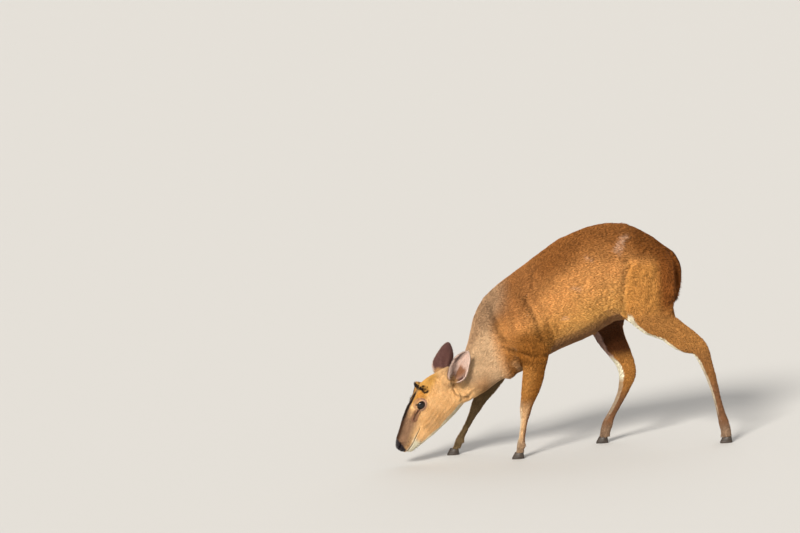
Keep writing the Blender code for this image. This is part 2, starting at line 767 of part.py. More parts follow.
def finish_head(head: bpy.types.Object) -> None:
    """Open the lids, mouth, nostrils and glands, and level the ear roots."""
    cutters = face_cutters()
    for side in (-1, 1):
        cutters.append(almond(side))
        tip, facing = ear_directions(side)
        root = on_head(*EAR_ROOTS[side])
        turn = frame_along(tip, facing)
        centre = root + tip * (EAR_STUB + 10)
        shape = bmesh.new()
        place = Matrix.Translation(centre) @ turn.to_4x4() @ Matrix.Diagonal((20, 46, 46, 1))
        bmesh.ops.create_cube(shape, size=1, matrix=place)
        cutters.append(new_object("ear_level", shape))
    cut_away(head, cutters)
    cut_away(head, [ball("socket", EYE_RADIUS + GAP, eye_matrix(side)) for side in (-1, 1)])
    keep_largest(head)


def ear(name: str, side: int, grown: float = 0.0) -> bpy.types.Object:
    """Return one ear: a solid root that opens into a cupped leaf with a rounded point."""
    tip, facing = ear_directions(side)
    root = on_head(*EAR_ROOTS[side]) + tip * (EAR_STUB + GAP - grown)
    across = facing.cross(tip)
    length = EAR_LENGTH - EAR_STUB
    rings = []
    for number in range(EAR_RINGS):
        share = number / (EAR_RINGS - 1)
        half = EAR_WIDTH / 2 * leaf(share)
        open_angle = math.radians(150 - 95 * min(share * 1.6, 1) - 8 * share)
        radius = half / math.sin(min(open_angle, math.pi / 2))
        wall = min(EAR_WALL * (1 - share / 2), radius * 0.45)
        bend = 6 * share * share
        ring = []
        for layer in (1, -1):
            for step in range(EAR_STEPS):
                angle = layer * open_angle * (2 * step / (EAR_STEPS - 1) - 1)
                reach = radius + grown if layer > 0 else radius - wall
                deep = radius * EAR_CURL - reach * math.cos(angle) - bend
                spine = root + tip * length * share
                ring.append(spine + facing * deep + across * reach * math.sin(angle))
        rings.append(ring)
    item = loft(name, rings)
    plug = []
    for rise, radius in ((0, 11.9), (4, 11.4), (8, 9.5), (11, 5.5), (12.5, 2)):
        ring = []
        for step in range(12):
            angle = 2 * math.pi * step / 12
            around = facing * math.cos(angle) + across * math.sin(angle)
            ring.append(root + tip * rise + around * (radius + grown) - facing * rise * 0.35)
        plug.append(ring)
    merged(item, [loft("plug", plug)])
    keep_largest(item)
    return item


def leaf(share: float) -> float:
    """Return the ear's half width along its length, as a share of the widest."""
    widest = 0.42
    if share < widest:
        return 0.52 + 0.48 * math.sin(math.pi / 2 * share / widest)
    return max(1 - ((share - widest) / (1.02 - widest)) ** 1.9, 0.06) ** 0.72


def hoof(name: str, joints: tuple, inner: bool) -> bpy.types.Object:
    """Return one toe of a cloven hoof: flat sole, pointed front and sloping wall."""
    coronet = Vector(joints[4])
    fetlock = Vector(joints[3])
    away = math.copysign(1, joints[0][1])
    side = -away if inner else away
    lean = (coronet - fetlock).x * 0.55
    centre_y = coronet.y + side * (HOOF_WIDTH / 2 + 0.7)
    top_x = coronet.x
    rings = []
    for height, spread in ((0.0, 1.0), (3.0, 1.0), (9.0, 0.95), (CORONET_HEIGHT - GAP, 0.9)):
        rise = height / CORONET_HEIGHT
        toe = top_x + lean - HOOF_LENGTH * 0.56 + 9.5 * rise
        heel = top_x + lean + HOOF_LENGTH * 0.44 - 1.5 * rise
        ring = []
        for step in range(14):
            angle = 2 * math.pi * step / 14
            along = (1 - math.cos(angle)) / 2
            width = HOOF_WIDTH / 2 * spread * math.sin(angle) * min(1.0, 0.35 + 1.3 * along)
            if math.sin(angle) * side < 0:
                width *= 0.86
            ring.append(Vector((toe + (heel - toe) * along, centre_y + width, height)))
        rings.append(ring)
    return loft(name, rings)


def material(name: str, colour: tuple, roughness: float) -> bpy.types.Material:
    """Return a plain Principled material."""
    finish = bpy.data.materials.new(name)
    finish.use_nodes = True
    shader = finish.node_tree.nodes["Principled BSDF"]
    shader.inputs["Base Color"].default_value = (*colour, 1)
    shader.inputs["Roughness"].default_value = roughness
    shader.inputs["Metallic"].default_value = 0.0
    return finish


def recentre(nodes: list) -> None:
    """Move all nodes so that the origin is the middle of the bottom of their common box."""
    points = [vert.co for node in nodes for vert in node.data.vertices]
    lowest = Vector([min(point[axis] for point in points) for axis in range(3)])
    highest = Vector([max(point[axis] for point in points) for axis in range(3)])
    shift = Vector((-(lowest.x + highest.x) / 2, -(lowest.y + highest.y) / 2, -lowest.z))
    for node in nodes:
        node.data.transform(Matrix.Translation(shift))


def build() -> None:
    """Build every node of the muntjac."""
    clear_scene()
    pieces = part_body(whole_body())
    finish_head(pieces["head"])
    cut_away(pieces["neck"], [ear("hollow", 1, GAP)])
    keep_largest(pieces["neck"])
    cut_away(pieces["torso"], [tail("hollow", GAP)])
    keep_largest(pieces["torso"])
    pieces["tail"] = tail("tail")
    for side, word in ((1, "left"), (-1, "right")):
        pieces[f"eye_{word}"] = ball(f"eye_{word}", EYE_RADIUS, eye_matrix(side))
        pieces[f"ear_{word}"] = ear(f"ear_{word}", side)
    for name, joints in limbs().items():
        foot = name.replace("leg", "hoof")
        for inner, word in ((True, "inner"), (False, "outer")):
            pieces[f"{foot}_{word}"] = hoof(f"{foot}_{word}", joints, inner)
    coats = {
        "eye": ((0.02, 0.012, 0.01), 0.05),
        "hoof": ((0.05, 0.04, 0.035), 0.5),
        "leg": ((0.36, 0.22, 0.12), 0.8),
        "ear": ((0.4, 0.28, 0.22), 0.8),
    }
    for name, node in pieces.items():
        colour, roughness = coats.get(name.split("_")[0], ((0.5, 0.25, 0.1), 0.8))
        node.data.materials.clear()
        node.data.materials.append(material(f"{name}_finish", colour, roughness))
        node.data.shade_smooth()
    recentre(list(pieces.values()))


build()
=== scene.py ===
"""The looks of a life-size muntjac model: one skin, its short coat, ears, eyes and hooves.

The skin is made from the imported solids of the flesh, so it has no seams. Each hair tuft is a thin
closed blade that grows from the skin and follows the lie of the coat. Sizes inside the classes are
in millimetres in the model's own frame, with +Z up, the nose towards -X and the left side on -Y.
"""

import logging
import math
from dataclasses import dataclass, field
from enum import IntEnum
from functools import cached_property
from typing import Iterator

import bmesh
import bpy
import numpy as np
from bmesh.types import BMesh
from bpy.types import ID, Material, Mesh, Node, NodeSocket, NodeTree, Object, bpy_prop_collection
from mathutils import Matrix, Vector
from mathutils.kdtree import KDTree


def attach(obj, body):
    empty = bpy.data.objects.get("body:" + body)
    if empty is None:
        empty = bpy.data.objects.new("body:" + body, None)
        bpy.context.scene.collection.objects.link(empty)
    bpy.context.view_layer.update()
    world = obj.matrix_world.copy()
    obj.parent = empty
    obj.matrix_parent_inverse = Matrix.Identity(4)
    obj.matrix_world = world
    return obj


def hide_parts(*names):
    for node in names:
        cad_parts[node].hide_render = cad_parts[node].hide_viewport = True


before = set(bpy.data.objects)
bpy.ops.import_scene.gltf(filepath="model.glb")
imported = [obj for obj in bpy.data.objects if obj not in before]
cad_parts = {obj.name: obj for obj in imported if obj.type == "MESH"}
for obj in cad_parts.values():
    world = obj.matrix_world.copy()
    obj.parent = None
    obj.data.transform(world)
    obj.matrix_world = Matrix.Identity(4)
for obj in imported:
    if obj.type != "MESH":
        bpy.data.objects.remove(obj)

LOG = logging.getLogger("muntjac")
MM = 0.001
FLESH = (
    "head", "neck", "torso", "tail",
    "leg_fore_left_upper", "leg_fore_left_lower", "leg_fore_right_upper", "leg_fore_right_lower",
    "leg_hind_left_upper", "leg_hind_left_lower", "leg_hind_right_upper", "leg_hind_right_lower",
)
Array = np.ndarray
Rgb = tuple[float, float, float]
Line = tuple[tuple[float, ...], ...]
WELD = 2e-6


def ease(low: float, high: float, value: Array) -> Array:
    """Return 0 below low, 1 above high, and a smooth rise between them."""
    t = np.clip((value - low) / (high - low), 0.0, 1.0)
    return t * t * (3 - 2 * t)


def bell(value: Array, width: float) -> Array:
    """Return a bell curve of a distance with this width."""
    return np.exp(-((value / width) ** 2))


def ripple(places: Array, size: float, seed: float = 0.0) -> Array:
    """Return smooth waves between -1 and 1 that vary over about this size.

    Args:
        places: Points, one to a row, in millimetres.
        size: The length over which the waves change.
        seed: A number that gives other waves.

    Returns:
        One value for each point.
    """
    x, y, z = (places[:, axis] / size for axis in range(3))
    first = np.sin(1.7 * x + 1.3 * np.sin(1.1 * z + seed) + seed)
    second = np.sin(1.9 * z + 1.5 * np.sin(1.3 * y + 0.7 * seed) + 2.1 * seed)
    third = np.sin(2.3 * y + 1.1 * np.sin(0.9 * x - seed) + 1.3 * seed)
    return (first + second + third) / 3


def polyline_distance(places: Array, line: Array) -> tuple[Array, Array]:
    """Measure how far points are from a line of straight stretches.

    Args:
        places: Points, one to a row, in two or three dimensions.
        line: The line's corners.

    Returns:
        The least distance of each point, and its place along the line in stretches.
    """
    best = np.full(len(places), np.inf)
    along = np.zeros(len(places))
    for number, (start, end) in enumerate(zip(line[:-1], line[1:])):
        step = end - start
        share = np.clip((places - start) @ step / (step @ step), 0, 1)
        gap = np.linalg.norm(places - start - share[:, None] * step, axis=1)
        nearer = gap < best
        best = np.where(nearer, gap, best)
        along = np.where(nearer, number + share, along)
    return best, along


def line_gap(line: Line, *axes: Array) -> Array:
    """Return how far points, given as one array for each axis, are from a line."""
    return polyline_distance(np.column_stack(axes), np.array(line, float))[0]


def moved(places: Array, matrix: Matrix) -> Array:
    """Return points moved by a matrix."""
    table = np.array(matrix)
    return places @ table[:3, :3].T + table[:3, 3]


def unit(ways: Array) -> Array:
    """Return directions at length one."""
    return ways / np.maximum(np.linalg.norm(ways, axis=1), 1e-6)[:, None]


def laid_flat(ways: Array, normals: Array) -> Array:
    """Return directions turned to lie at right angles to the normals, at length one."""
    return unit(ways - normals * np.sum(ways * normals, axis=1)[:, None])


@dataclass(frozen=True)
class Head:
    """The head's own axes in the model: u towards the nose, v towards the crown, w to the left.

    Attributes:
        eye: The middle of the left eye in these axes.
        pitch: How far the head hangs, in degrees.
        yaw: How far it turns to the left.
        roll: How far it leans over.
    """

    eye: tuple[float, float, float] = (92.0, 19.0, 28.6)
    pitch: float = 51.0
    yaw: float = 11.0
    roll: float = 6.0

    @cached_property
    def place(self) -> Matrix:
        """Return the matrix from the head's axes to the model's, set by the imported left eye.

        Returns:
            The matrix, in millimetres.
        """
        pitch, yaw, roll = (math.radians(angle) for angle in (self.pitch, self.yaw, self.roll))
        level, steep = math.cos(pitch), math.sin(pitch)
        nose = Vector((-level * math.cos(yaw), -level * math.sin(yaw), -steep))
        crown = Vector((-steep * math.cos(yaw), -steep * math.sin(yaw), level))
        left = crown.cross(nose)
        top = math.cos(roll) * crown + math.sin(roll) * left
        side = math.cos(roll) * left - math.sin(roll) * crown
        turn = Matrix((nose, top, side)).transposed()
        corners = np.array([vert.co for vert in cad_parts["eye_left"].data.vertices]) / MM
        middle = Vector((corners.min(axis=0) + corners.max(axis=0)) / 2)
        return Matrix.Translation(middle - turn @ Vector(self.eye)) @ turn.to_4x4()

    @cached_property
    def back(self) -> Array:
        """Return the matrix from the model's axes to the head's."""
        return np.array(self.place.inverted())

    def inside(self, places: Array) -> Array:
        """Return the head coordinates of points given in the model's millimetres."""
        return moved(places, self.back)

    def turned(self, ways: Array) -> Array:
        """Return directions in the head's axes."""
        return ways @ self.back[:3, :3].T

    def point(self, u: float, v: float, w: float) -> Vector:
        """Return the model point of one place in the head's axes."""
        return self.place @ Vector((u, v, w))

    def way(self, u: float, v: float, w: float) -> Vector:
        """Return the model direction of one direction in the head's axes."""
        return self.place.to_3x3() @ Vector((u, v, w))


HEAD = Head()

# The face, in the head's axes: half sizes of the eye's opening, how the right eye is drawn in, and
# lines (u, v)
EYE_OPENING = (10.4, 7.4)
RIGHT_EYE_SHIFT = (0.0, -2.2, 3.4)
MOUTH_U = (139, 150, 168, 186, 216)
MOUTH_V = (-15.5, -18.5, -22, -25.5, -27)
GLAND_LINE = ((111.0, 13.5), (121.0, 11.5), (131.0, 8.0))
EYE_DUCT = ((102.0, 17.0), (108.5, 15.0))
THROAT_CREASE = ((4.0, -20.0), (19.0, -27.0), (25.0, -41.0), (21.0, -57.0), (14.0, -70.0))
CHEEK_GROOVE = ((136.0, -14.0), (116.0, -22.0), (96.0, -20.0))
NOSTRIL = ((196.5, 0.5), (200.0, -2.5), (204.0, -3.6), (207.0, -6.5))
FACE_END = -40.0

# Marks of the face as its side view shows them: millimetres ahead of the eye's middle and above it
SIDE_VIEW = np.array(((-0.554, -0.833), (-0.782, 0.526), (0.283, -0.177)))
BROW_STRIPE = (
    (-4.5, 39.5), (-9.8, 34.7), (-12.6, 25.5), (-16.7, 14.4), (-20.9, 6.1), (-25.5, -1.3),
    (-30.1, -10.5), (-32.9, -17.0), (-42.0, -38.0),
)
FAR_STRIPE = (
    (-16.7, 47.7), (-17.6, 38.4), (-19.9, 29.2), (-23.6, 19.1), (-27.3, 9.8), (-31.0, 0.6),
    (-33.8, -6.8), (-36.5, -14.0),
)
KNOB_BLOT = ((-4.6, 41.0), (-3.0, 39.0))
KNOB_CURL = (
    (-1.0, 38.6), (2.2, 36.6), (5.0, 32.4), (8.2, 29.2), (11.9, 27.8), (16.1, 29.2), (17.7, 32.0),
)
KNOB_SPOTS = ((11.4, 36.1, 2.6), (6.2, 42.0, 2.8), (16.5, 40.5, 1.8))
EYE_WEDGE = ((-6.0, -0.5), (-9.5, -1.2))

# Lines (x, z) on the sides of the body
BACK_LINE = (
    (-246, 225), (-200, 310), (-134, 415), (-38, 474), (75, 532), (128, 541), (190, 535),
    (255, 494), (290, 440),
)
BELLY_LINE = (
    (-246, 130), (-171, 160), (-86, 200), (7, 246), (101, 280), (142, 303), (215, 300), (290, 330),
)
ARM_PIT = ((-104.0, 226.0), (-90.0, 212.0))

# Pale scars of the left side: corners (x, z), width and strength
SCARS = (
    (((181, 509), (170, 500), (160, 484)), 7.0, 0.85), (((176, 492), (166, 470)), 5.0, 0.4),
    (((52, 402), (62, 398)), 6.0, 0.6), (((86, 470), (96, 466)), 5.0, 0.5),
    (((20, 330), (30, 332)), 4.0, 0.5),
)

# Where the white of the legs' fronts begins: height and least share of the direction ahead
WHITE_EDGE = ((200, 0.42), (222, 0.56), (248, 0.5), (268, 0.4), (300, 0.62))

# Folds and muscle edges on the sides of the body: corners (x, z), width and height
FOLDS = (
    (((-134, 274), (-110, 262), (-75, 252), (-40, 242)), 5.0, -3.6),
    (((-128, 262), (-100, 250), (-70, 238)), 6.0, 2.2),
    (((-156, 385), (-138, 312), (-116, 272)), 11.0, -4.0),
    (((-75, 403), (-45, 328), (-28, 266)), 9.0, -3.6),
    (((-100, 400), (-85, 340), (-75, 290)), 14.0, 2.2),
    (((186, 470), (172, 430), (166, 384), (168, 330), (176, 316)), 9.0, -3.2),
    (((204, 462), (192, 425), (188, 384), (190, 340)), 11.0, 2.2),
    (((246, 436), (240, 405), (231, 372), (219, 346)), 7.0, -2.2),
    (((256, 380), (250, 345), (262, 318)), 6.0, -1.6),
    (((-245, 140), (-228, 152), (-205, 164)), 4.0, -2.0),
    (((-236, 152), (-214, 170), (-190, 180)), 4.0, 1.4),
    (((-36, 250), (-20, 238), (0, 246)), 6.0, -2.4),
    (((-262, 198), (-246, 182), (-236, 160), (-238, 142)), 4.5, -2.2),
)


class Region(IntEnum):
    """The parts of the body that the coat is grown on, in the order of their lines."""

    HEAD = 0
    NECK = 1
    TRUNK = 2
    FORE_LEFT = 3
    FORE_RIGHT = 4
    HIND_LEFT = 5
    HIND_RIGHT = 6
    TAIL = 7


@dataclass(frozen=True)
class LieLine:
    """A line inside the body that the hair follows: corners (x, y, z, radius, hair length)."""

    region: Region
    corners: tuple[tuple[float, float, float, float, float], ...]

    def arrays(self) -> tuple[Array, Array, Array]:
        """Return the corners' places, radii and hair lengths."""
        table = np.array(self.corners)
        return table[:, :3], table[:, 3], table[:, 4]


def head_corner(u: float, v: float, radius: float, length: float) -> tuple[float, ...]:
    """Return a corner of the head's line from its place in the head's axes."""
    return (*HEAD.point(u, v, 0), radius, length)


LIE_LINES = (
    LieLine(Region.HEAD, (
        head_corner(216, -12, 12, 3.2), head_corner(160, -14, 26, 4.0),
        head_corner(110, -16, 40, 5.0), head_corner(60, -18, 48, 5.6), head_corner(0, -28, 50, 7.0),
    )),
    LieLine(Region.NECK, (
        (-268, -8, 200, 40, 7.5), (-225, -5, 222, 50, 8.5), (-190, -2, 262, 60, 9.5),
        (-140, 0, 308, 74, 10.5),
    )),
    LieLine(Region.TRUNK, (
        (-140, 0, 308, 78, 10.5), (-60, 0, 345, 96, 11.0), (40, 0, 385, 125, 11.5),
        (130, 0, 415, 125, 12.0), (215, 0, 415, 110, 11.5), (275, 0, 402, 80, 11.5),
    )),
    LieLine(Region.FORE_LEFT, (
        (-68, -50, 290, 34, 9.5), (-58, -60, 244, 34, 8.5), (-74, -61, 180, 22, 7.0),
        (-87, -61, 112, 14, 6.0), (-103, -62, 36, 11, 5.2), (-108, -62, 12, 13, 5.5),
    )),
    LieLine(Region.FORE_RIGHT, (
        (-105, 50, 285, 34, 9.5), (-124, 61, 244, 34, 8.5), (-166, 64, 178, 22, 7.0),
        (-202, 65, 112, 14, 6.0), (-247, 67, 36, 11, 5.2), (-258, 67, 12, 13, 5.5),
    )),
    LieLine(Region.HIND_LEFT, (
        (225, -48, 385, 70, 10.5), (222, -56, 335, 56, 9.5), (280, -58, 281, 32, 8.0),
        (337, -59, 226, 22, 7.0), (365, -62, 137, 13, 5.5), (383, -65, 48, 13, 5.2),
        (386, -66, 12, 13, 5.5),
    )),
    LieLine(Region.HIND_RIGHT, (
        (160, 48, 380, 70, 10.5), (126, 56, 325, 56, 9.5), (147, 58, 245, 34, 8.0),
        (168, 60, 166, 22, 7.0), (140, 64, 106, 13, 5.5), (111, 68, 46, 13, 5.2),
        (101, 69, 12, 13, 5.5),
    )),
    LieLine(Region.TAIL, (
        (288, 0, 464, 13, 13.0), (297, 0, 450, 15, 15.0), (302, 0, 430, 16, 17.0),
        (303, 0, 405, 17, 18.0), (300, 0, 377, 16, 18.0), (294, 0, 347, 12, 16.0),
    )),
)

SIDE_DROOP = 0.28


@dataclass
class Lie:
    """How the coat lies at a set of points: direction, hair length, region and unwrapped place."""

    direction: Array
    length: Array
    region: Array
    along: Array
    around: Array

    def on(self, *regions: Region) -> Array:
        """Return which of the points are on these regions."""
        return np.isin(self.region, regions)


def lie_at(places: Array, normals: Array) -> Lie:
    """Work out how the coat lies on the skin.

    Args:
        places: Points on the skin, in millimetres.
        normals: The skin's outward directions there.

    Returns:
        The lie of the coat at each point.
    """
    count = len(places)
    flow = np.zeros((count, 3))
    length = np.zeros(count)
    total = np.zeros(count)
    nearest = np.full(count, np.inf)
    region = np.zeros(count, int)
    along = np.zeros(count)
    around = np.zeros(count)
    for line in LIE_LINES:
        corners, radii, lengths = line.arrays()
        gap, stretch = polyline_distance(places, corners)
        index = np.minimum(stretch.astype(int), len(corners) - 2)
        share = (stretch - index)[:, None]
        steps = np.diff(corners, axis=0)
        size = np.linalg.norm(steps, axis=1)
        ways = steps / size[:, None]
        later = np.minimum(index + 1, len(ways) - 1)
        way = ways[index] * (1 - 0.5 * share) + ways[later] * 0.5 * share
        radius = np.interp(stretch, range(len(radii)), radii)
        near = gap / radius
        weight = 1 / (near ** 5 + 0.02)
        flow += way * weight[:, None]
        length += np.interp(stretch, range(len(lengths)), lengths) * weight
        total += weight
        closer = near < nearest
        nearest = np.where(closer, near, nearest)
        region = np.where(closer, line.region, region)
        reach = np.concatenate([[0], np.cumsum(size)])
        along = np.where(closer, np.interp(stretch, range(len(reach)), reach), along)
        aside = places - (corners[index] + steps[index] * share)
        level, steep = ways[index][:, 0], ways[index][:, 2]
        rise = (aside[:, 0] * steep - aside[:, 2] * level) * np.where(level < 0, -1, 1)
        around = np.where(closer, np.arctan2(aside[:, 1], rise), around)
    flow = unit(flow)
    flow[:, 2] -= SIDE_DROOP * np.abs(normals[:, 1]) * (region == Region.TRUNK)
    return Lie(laid_flat(flow, normals), length / total, region, along, around)


def fold_reaches(
    places: Array, normals: Array, spread: float = 1.0,
) -> Iterator[tuple[float, Array]]:
    """Yield the height of each fold with how far it reaches each point of the body's sides.

    Args:
        places: Points in millimetres.
        normals: Outward directions.
        spread: How much wider than its own width each fold reaches.

    Yields:
        The fold's height, and its share at each point.
    """
    side = ease(0.2, 0.6, np.abs(normals[:, 1]))
    for line, width, height in FOLDS:
        gap, along = polyline_distance(places[:, [0, 2]], np.array(line, float))
        ends = np.minimum(along, len(line) - 1 - along)
        yield height, bell(gap, spread * width) * ease(-0.01, 0.35, ends) * side


@dataclass
class Paint:
    """The colours laid so far on points of a surface, with what their masks are worked out from.

    Attributes:
        places: The points, in millimetres.
        base: The colour under all others.
        normals: Outward directions.
        lie: The lie of the coat there.
        within: Where colours are laid.
        tone: Linear red, green and blue, one row for each point.
    """

    places: Array
    base: Rgb
    normals: Array | None = None
    lie: Lie | None = None
    within: Array | float = 1.0
    tone: Array = field(init=False)

    def __post_init__(self) -> None:
        """Lay the base colour everywhere."""
        self.tone = np.tile(np.array(self.base), (len(self.places), 1))

    @cached_property
    def head(self) -> Array:
        """Return the points in the head's axes, one row for each axis."""
        return HEAD.inside(self.places).T

    def lay(self, colour: Rgb, mask: Array) -> None:
        """Mix a colour into the tones where the mask says."""
        share = np.clip(mask * self.within, 0, 1)[:, None]
        self.tone += (np.array(colour) - self.tone) * share

    def waves(self, size: float, seed: float) -> Array:
        """Return smooth waves of this size at the points."""
        return ripple(self.places, size, seed)


def side_view(u: Array, v: Array, w: Array) -> Array:
    """Return how far ahead of the eye's middle and above it the side view shows points."""
    return ((np.column_stack([u, v, w]) - HEAD.eye) @ SIDE_VIEW).T


def eye_gap(u: Array, v: Array, stretch: float) -> Array:
    """Return how far points are from the eye's middle, less along the stretched eye."""
    return np.hypot((u - 93) / stretch, v - 19.5)


def nose_pad(u: Array, v: Array) -> Array:
    """Return 1 on the bare tip of the nose and 0 elsewhere."""
    return ease(195.5, 200.5, u + 0.3 * (v + 8)) * ease(-25, -20, v)


def wrinkles(u: Array, v: Array, w: Array) -> Array:
    """Return the fine waves of the skin of the face, which run across it."""
    return ripple(np.column_stack([u * 0.7, v * 1.6, w]), 6.5, 3.0)


def moisture(places: Array) -> Array:
    """Return 1 on the wet nose and in the inner corners of the eyes, and 0 elsewhere.

    Args:
        places: Points in millimetres.

    Returns:
        One value for each point.
    """
    u, v, w = HEAD.inside(places).T
    corner = bell(np.hypot(u - 105, v - 15.5), 3.0) * (np.abs(w) > 16)
    return np.clip(nose_pad(u, v) + 0.7 * corner, 0, 1)


@dataclass(frozen=True)
class Markings:
    """Linear red, green and blue of the animal and of painted shade, and where each lies."""

    flank: Rgb = (0.738, 0.351, 0.112)
    back: Rgb = (0.295, 0.109, 0.026)
    low_flank: Rgb = (0.681, 0.36, 0.101)
    # Painted shade: dark brown of the trunk's downward-facing underside
    shaded_belly: Rgb = (0.3, 0.15, 0.065)
    shoulder: Rgb = (0.373, 0.156, 0.048)
    neck_side: Rgb = (0.652, 0.437, 0.255)
    nape: Rgb = (0.449, 0.276, 0.154)
    throat: Rgb = (0.41, 0.199, 0.075)
    thigh: Rgb = (0.57, 0.262, 0.065)
    rump: Rgb = (0.256, 0.084, 0.017)
    croup: Rgb = (0.17, 0.055, 0.009)
    elbow: Rgb = (0.242, 0.085, 0.011)
    white: Rgb = (0.821, 0.766, 0.589)
    shank: Rgb = (0.285, 0.125, 0.039)
    cannon: Rgb = (0.731, 0.456, 0.236)
    hind_cannon: Rgb = (0.2246, 0.1053, 0.0493)
    pastern: Rgb = (0.3, 0.2, 0.13)
    # Painted shade on the inner sides of the hind legs
    inner: Rgb = (0.058, 0.014, 0.003)
    inner_shank: Rgb = (0.442, 0.195, 0.045)
    # Grey-brown of the forelegs' inner sides, darkened as painted shade
    shaded_inner_arm: Rgb = (0.149, 0.101, 0.047)
    # Painted shade on the upper front of the far hind leg
    far_leg_shade: Rgb = (0.33, 0.2, 0.16)
    shade: Rgb = (0.2, 0.105, 0.06)
    cheek: Rgb = (0.902, 0.572, 0.271)
    forehead: Rgb = (0.697, 0.382, 0.098)
    brow: Rgb = (0.6316, 0.2807, 0.0561)
    muzzle: Rgb = (0.2611, 0.145, 0.085)
    bridge: Rgb = (0.06, 0.027, 0.014)
    lip: Rgb = (0.4, 0.2, 0.08)
    nose: Rgb = (0.02, 0.016, 0.018)
    black: Rgb = (0.022, 0.013, 0.009)
    gland: Rgb = (0.17, 0.07, 0.045)
    eye_ring: Rgb = (0.5, 0.3, 0.22)
    scar: Rgb = (0.8, 0.52, 0.36)
    tail: Rgb = (0.16, 0.062, 0.018)

    def colour(self, places: Array, normals: Array, lie: Lie) -> Array:
        """Return the coat's colour at points on the skin.

        Args:
            places: Points in millimetres.
            normals: Outward directions.
            lie: The lie of the coat there.

        Returns:
            Linear red, green and blue, one row for each point.
        """
        on = Paint(places, self.flank, normals, lie)
        self.trunk(on)
        self.limbs(on)
        self.hind_end(on)
        on.within = lie.on(Region.HEAD, Region.NECK) & (on.head[0] > FACE_END)
        self.face(on)
        self.brow_marks(on)
        self.eye_and_mouth(on)
        shade = 1 + 0.06 * on.waves(19, 7.0) + 0.05 * on.waves(8, 9.0)
        # Painted shade in the folds' grooves and painted light on their ridges, over the random
        # mottling.
        for height, reach in fold_reaches(places, normals, 0.75):
            shade *= 1 + (0.1 if height < 0 else 0.055) * height * reach
        return on.tone * shade[:, None]

    def trunk(self, on: Paint) -> None:
        """Lay the dark back, shoulder, neck, painted shade below and the left side's scars.

        Args:
            on: The colours so far, changed in place.
        """
        x, y, z = on.places.T
        top, low = np.interp(x, *zip(*BACK_LINE)), np.interp(x, *zip(*BELLY_LINE))
        height = (z - low) / (top - low) + 0.05 * on.waves(34, 1.0)
        facing = on.normals[:, 1]
        before_thighs = on.lie.region < Region.HIND_LEFT
        on.lay(self.low_flank, ease(0.6, 0.15, height) * ease(-120, -20, x))
        on.lay(self.back, 0.95 * ease(0.56, 0.9, height))
        on.lay(self.shoulder, ease(0, -70, x) * ease(0.35, 0.75, height) * 0.85)
        behind_arm = ease(-150, -110, x) * ease(40, -30, x)
        on.lay(self.elbow, behind_arm * ease(0.5, 0.22, height) * 0.8)
        # Painted shade: a dark patch in the hollow between the shoulder and the chest.
        hollow = bell(np.hypot((x + 71) / 1.7, z - 288), 24.0) * ease(0.2, 0.6, np.abs(facing))
        on.lay(self.elbow, hollow * before_thighs * 0.75)
        neck = ease(-118, -160, x + 0.25 * (z - 260))
        on.lay(self.neck_side, neck)
        on.lay(self.throat, neck * ease(0.35, 0.02, height) * ease(-150, -180, x) * 0.8)
        nape = ease(-90, -140, x) * ease(0.58, 0.88, height)
        on.lay(self.nape, nape * (on.lie.region < Region.FORE_LEFT))
        # Painted shade: the trunk's underside, which faces down, gets a dark brown in place of its
        # paler own hair.
        downward = on.lie.on(Region.TRUNK) * ease(-0.35, -0.8, on.normals[:, 2])
        on.lay(self.shaded_belly, downward * ease(-150, -60, x))
        pit = bell(line_gap(ARM_PIT, x, z), 9.0)
        on.lay(self.cannon, pit * (x > -140) * before_thighs * 0.35)
        left = (y < -30) * ease(0.3, 0.7, -facing)
        for line, width, share in SCARS:
            frayed = bell(line_gap(line, x, z) + 3 * on.waves(5, 2.0), width)
            streaks = 0.65 + 0.35 * np.sin(1.3 * x - 0.5 * z)
            on.lay(self.scar, left * frayed * streaks * share * 0.9)

    def limbs(self, on: Paint) -> None:
        """Lay the markings and painted shade of the thighs and limbs.

        Args:
            on: The colours so far, changed in place.
        """
        x, y, z = on.places.T
        hind = on.lie.on(Region.HIND_LEFT, Region.HIND_RIGHT)
        fore = on.lie.on(Region.FORE_LEFT, Region.FORE_RIGHT)
        inner = on.normals[:, 1] * -np.sign(y)
        ahead = laid_flat(np.array((-1.0, 0, 0)), on.lie.direction)
        front = np.sum(on.normals * ahead, axis=1)
        on.lay(self.thigh, ease(165, 185, x - 0.1 * (z - 400)) * ease(470, 430, z))
        on.lay(self.thigh, hind * ease(455, 400, z))
        on.lay(self.elbow, fore * ease(300, 250, z) * 0.68)
        forearm = ease(235, 200, z) * ease(120, 160, z)
        on.lay(self.thigh, fore * forearm * ease(-0.5, 0.4, front) * 0.7)
        on.lay(self.shank, hind * ease(350, 310, z) * 0.55)
        on.lay(self.shank, hind * ease(250, 190, z) * 0.9)
        on.lay(self.hind_cannon, hind * ease(170, 120, z))
        on.lay(self.cannon, fore * ease(150, 100, z) * ease(-0.9, -0.1, front))
        on.lay(self.hind_cannon, fore * ease(150, 100, z) * ease(-0.1, -0.8, front) * 0.8)
        inside = ease(0.1, 0.55, inner)
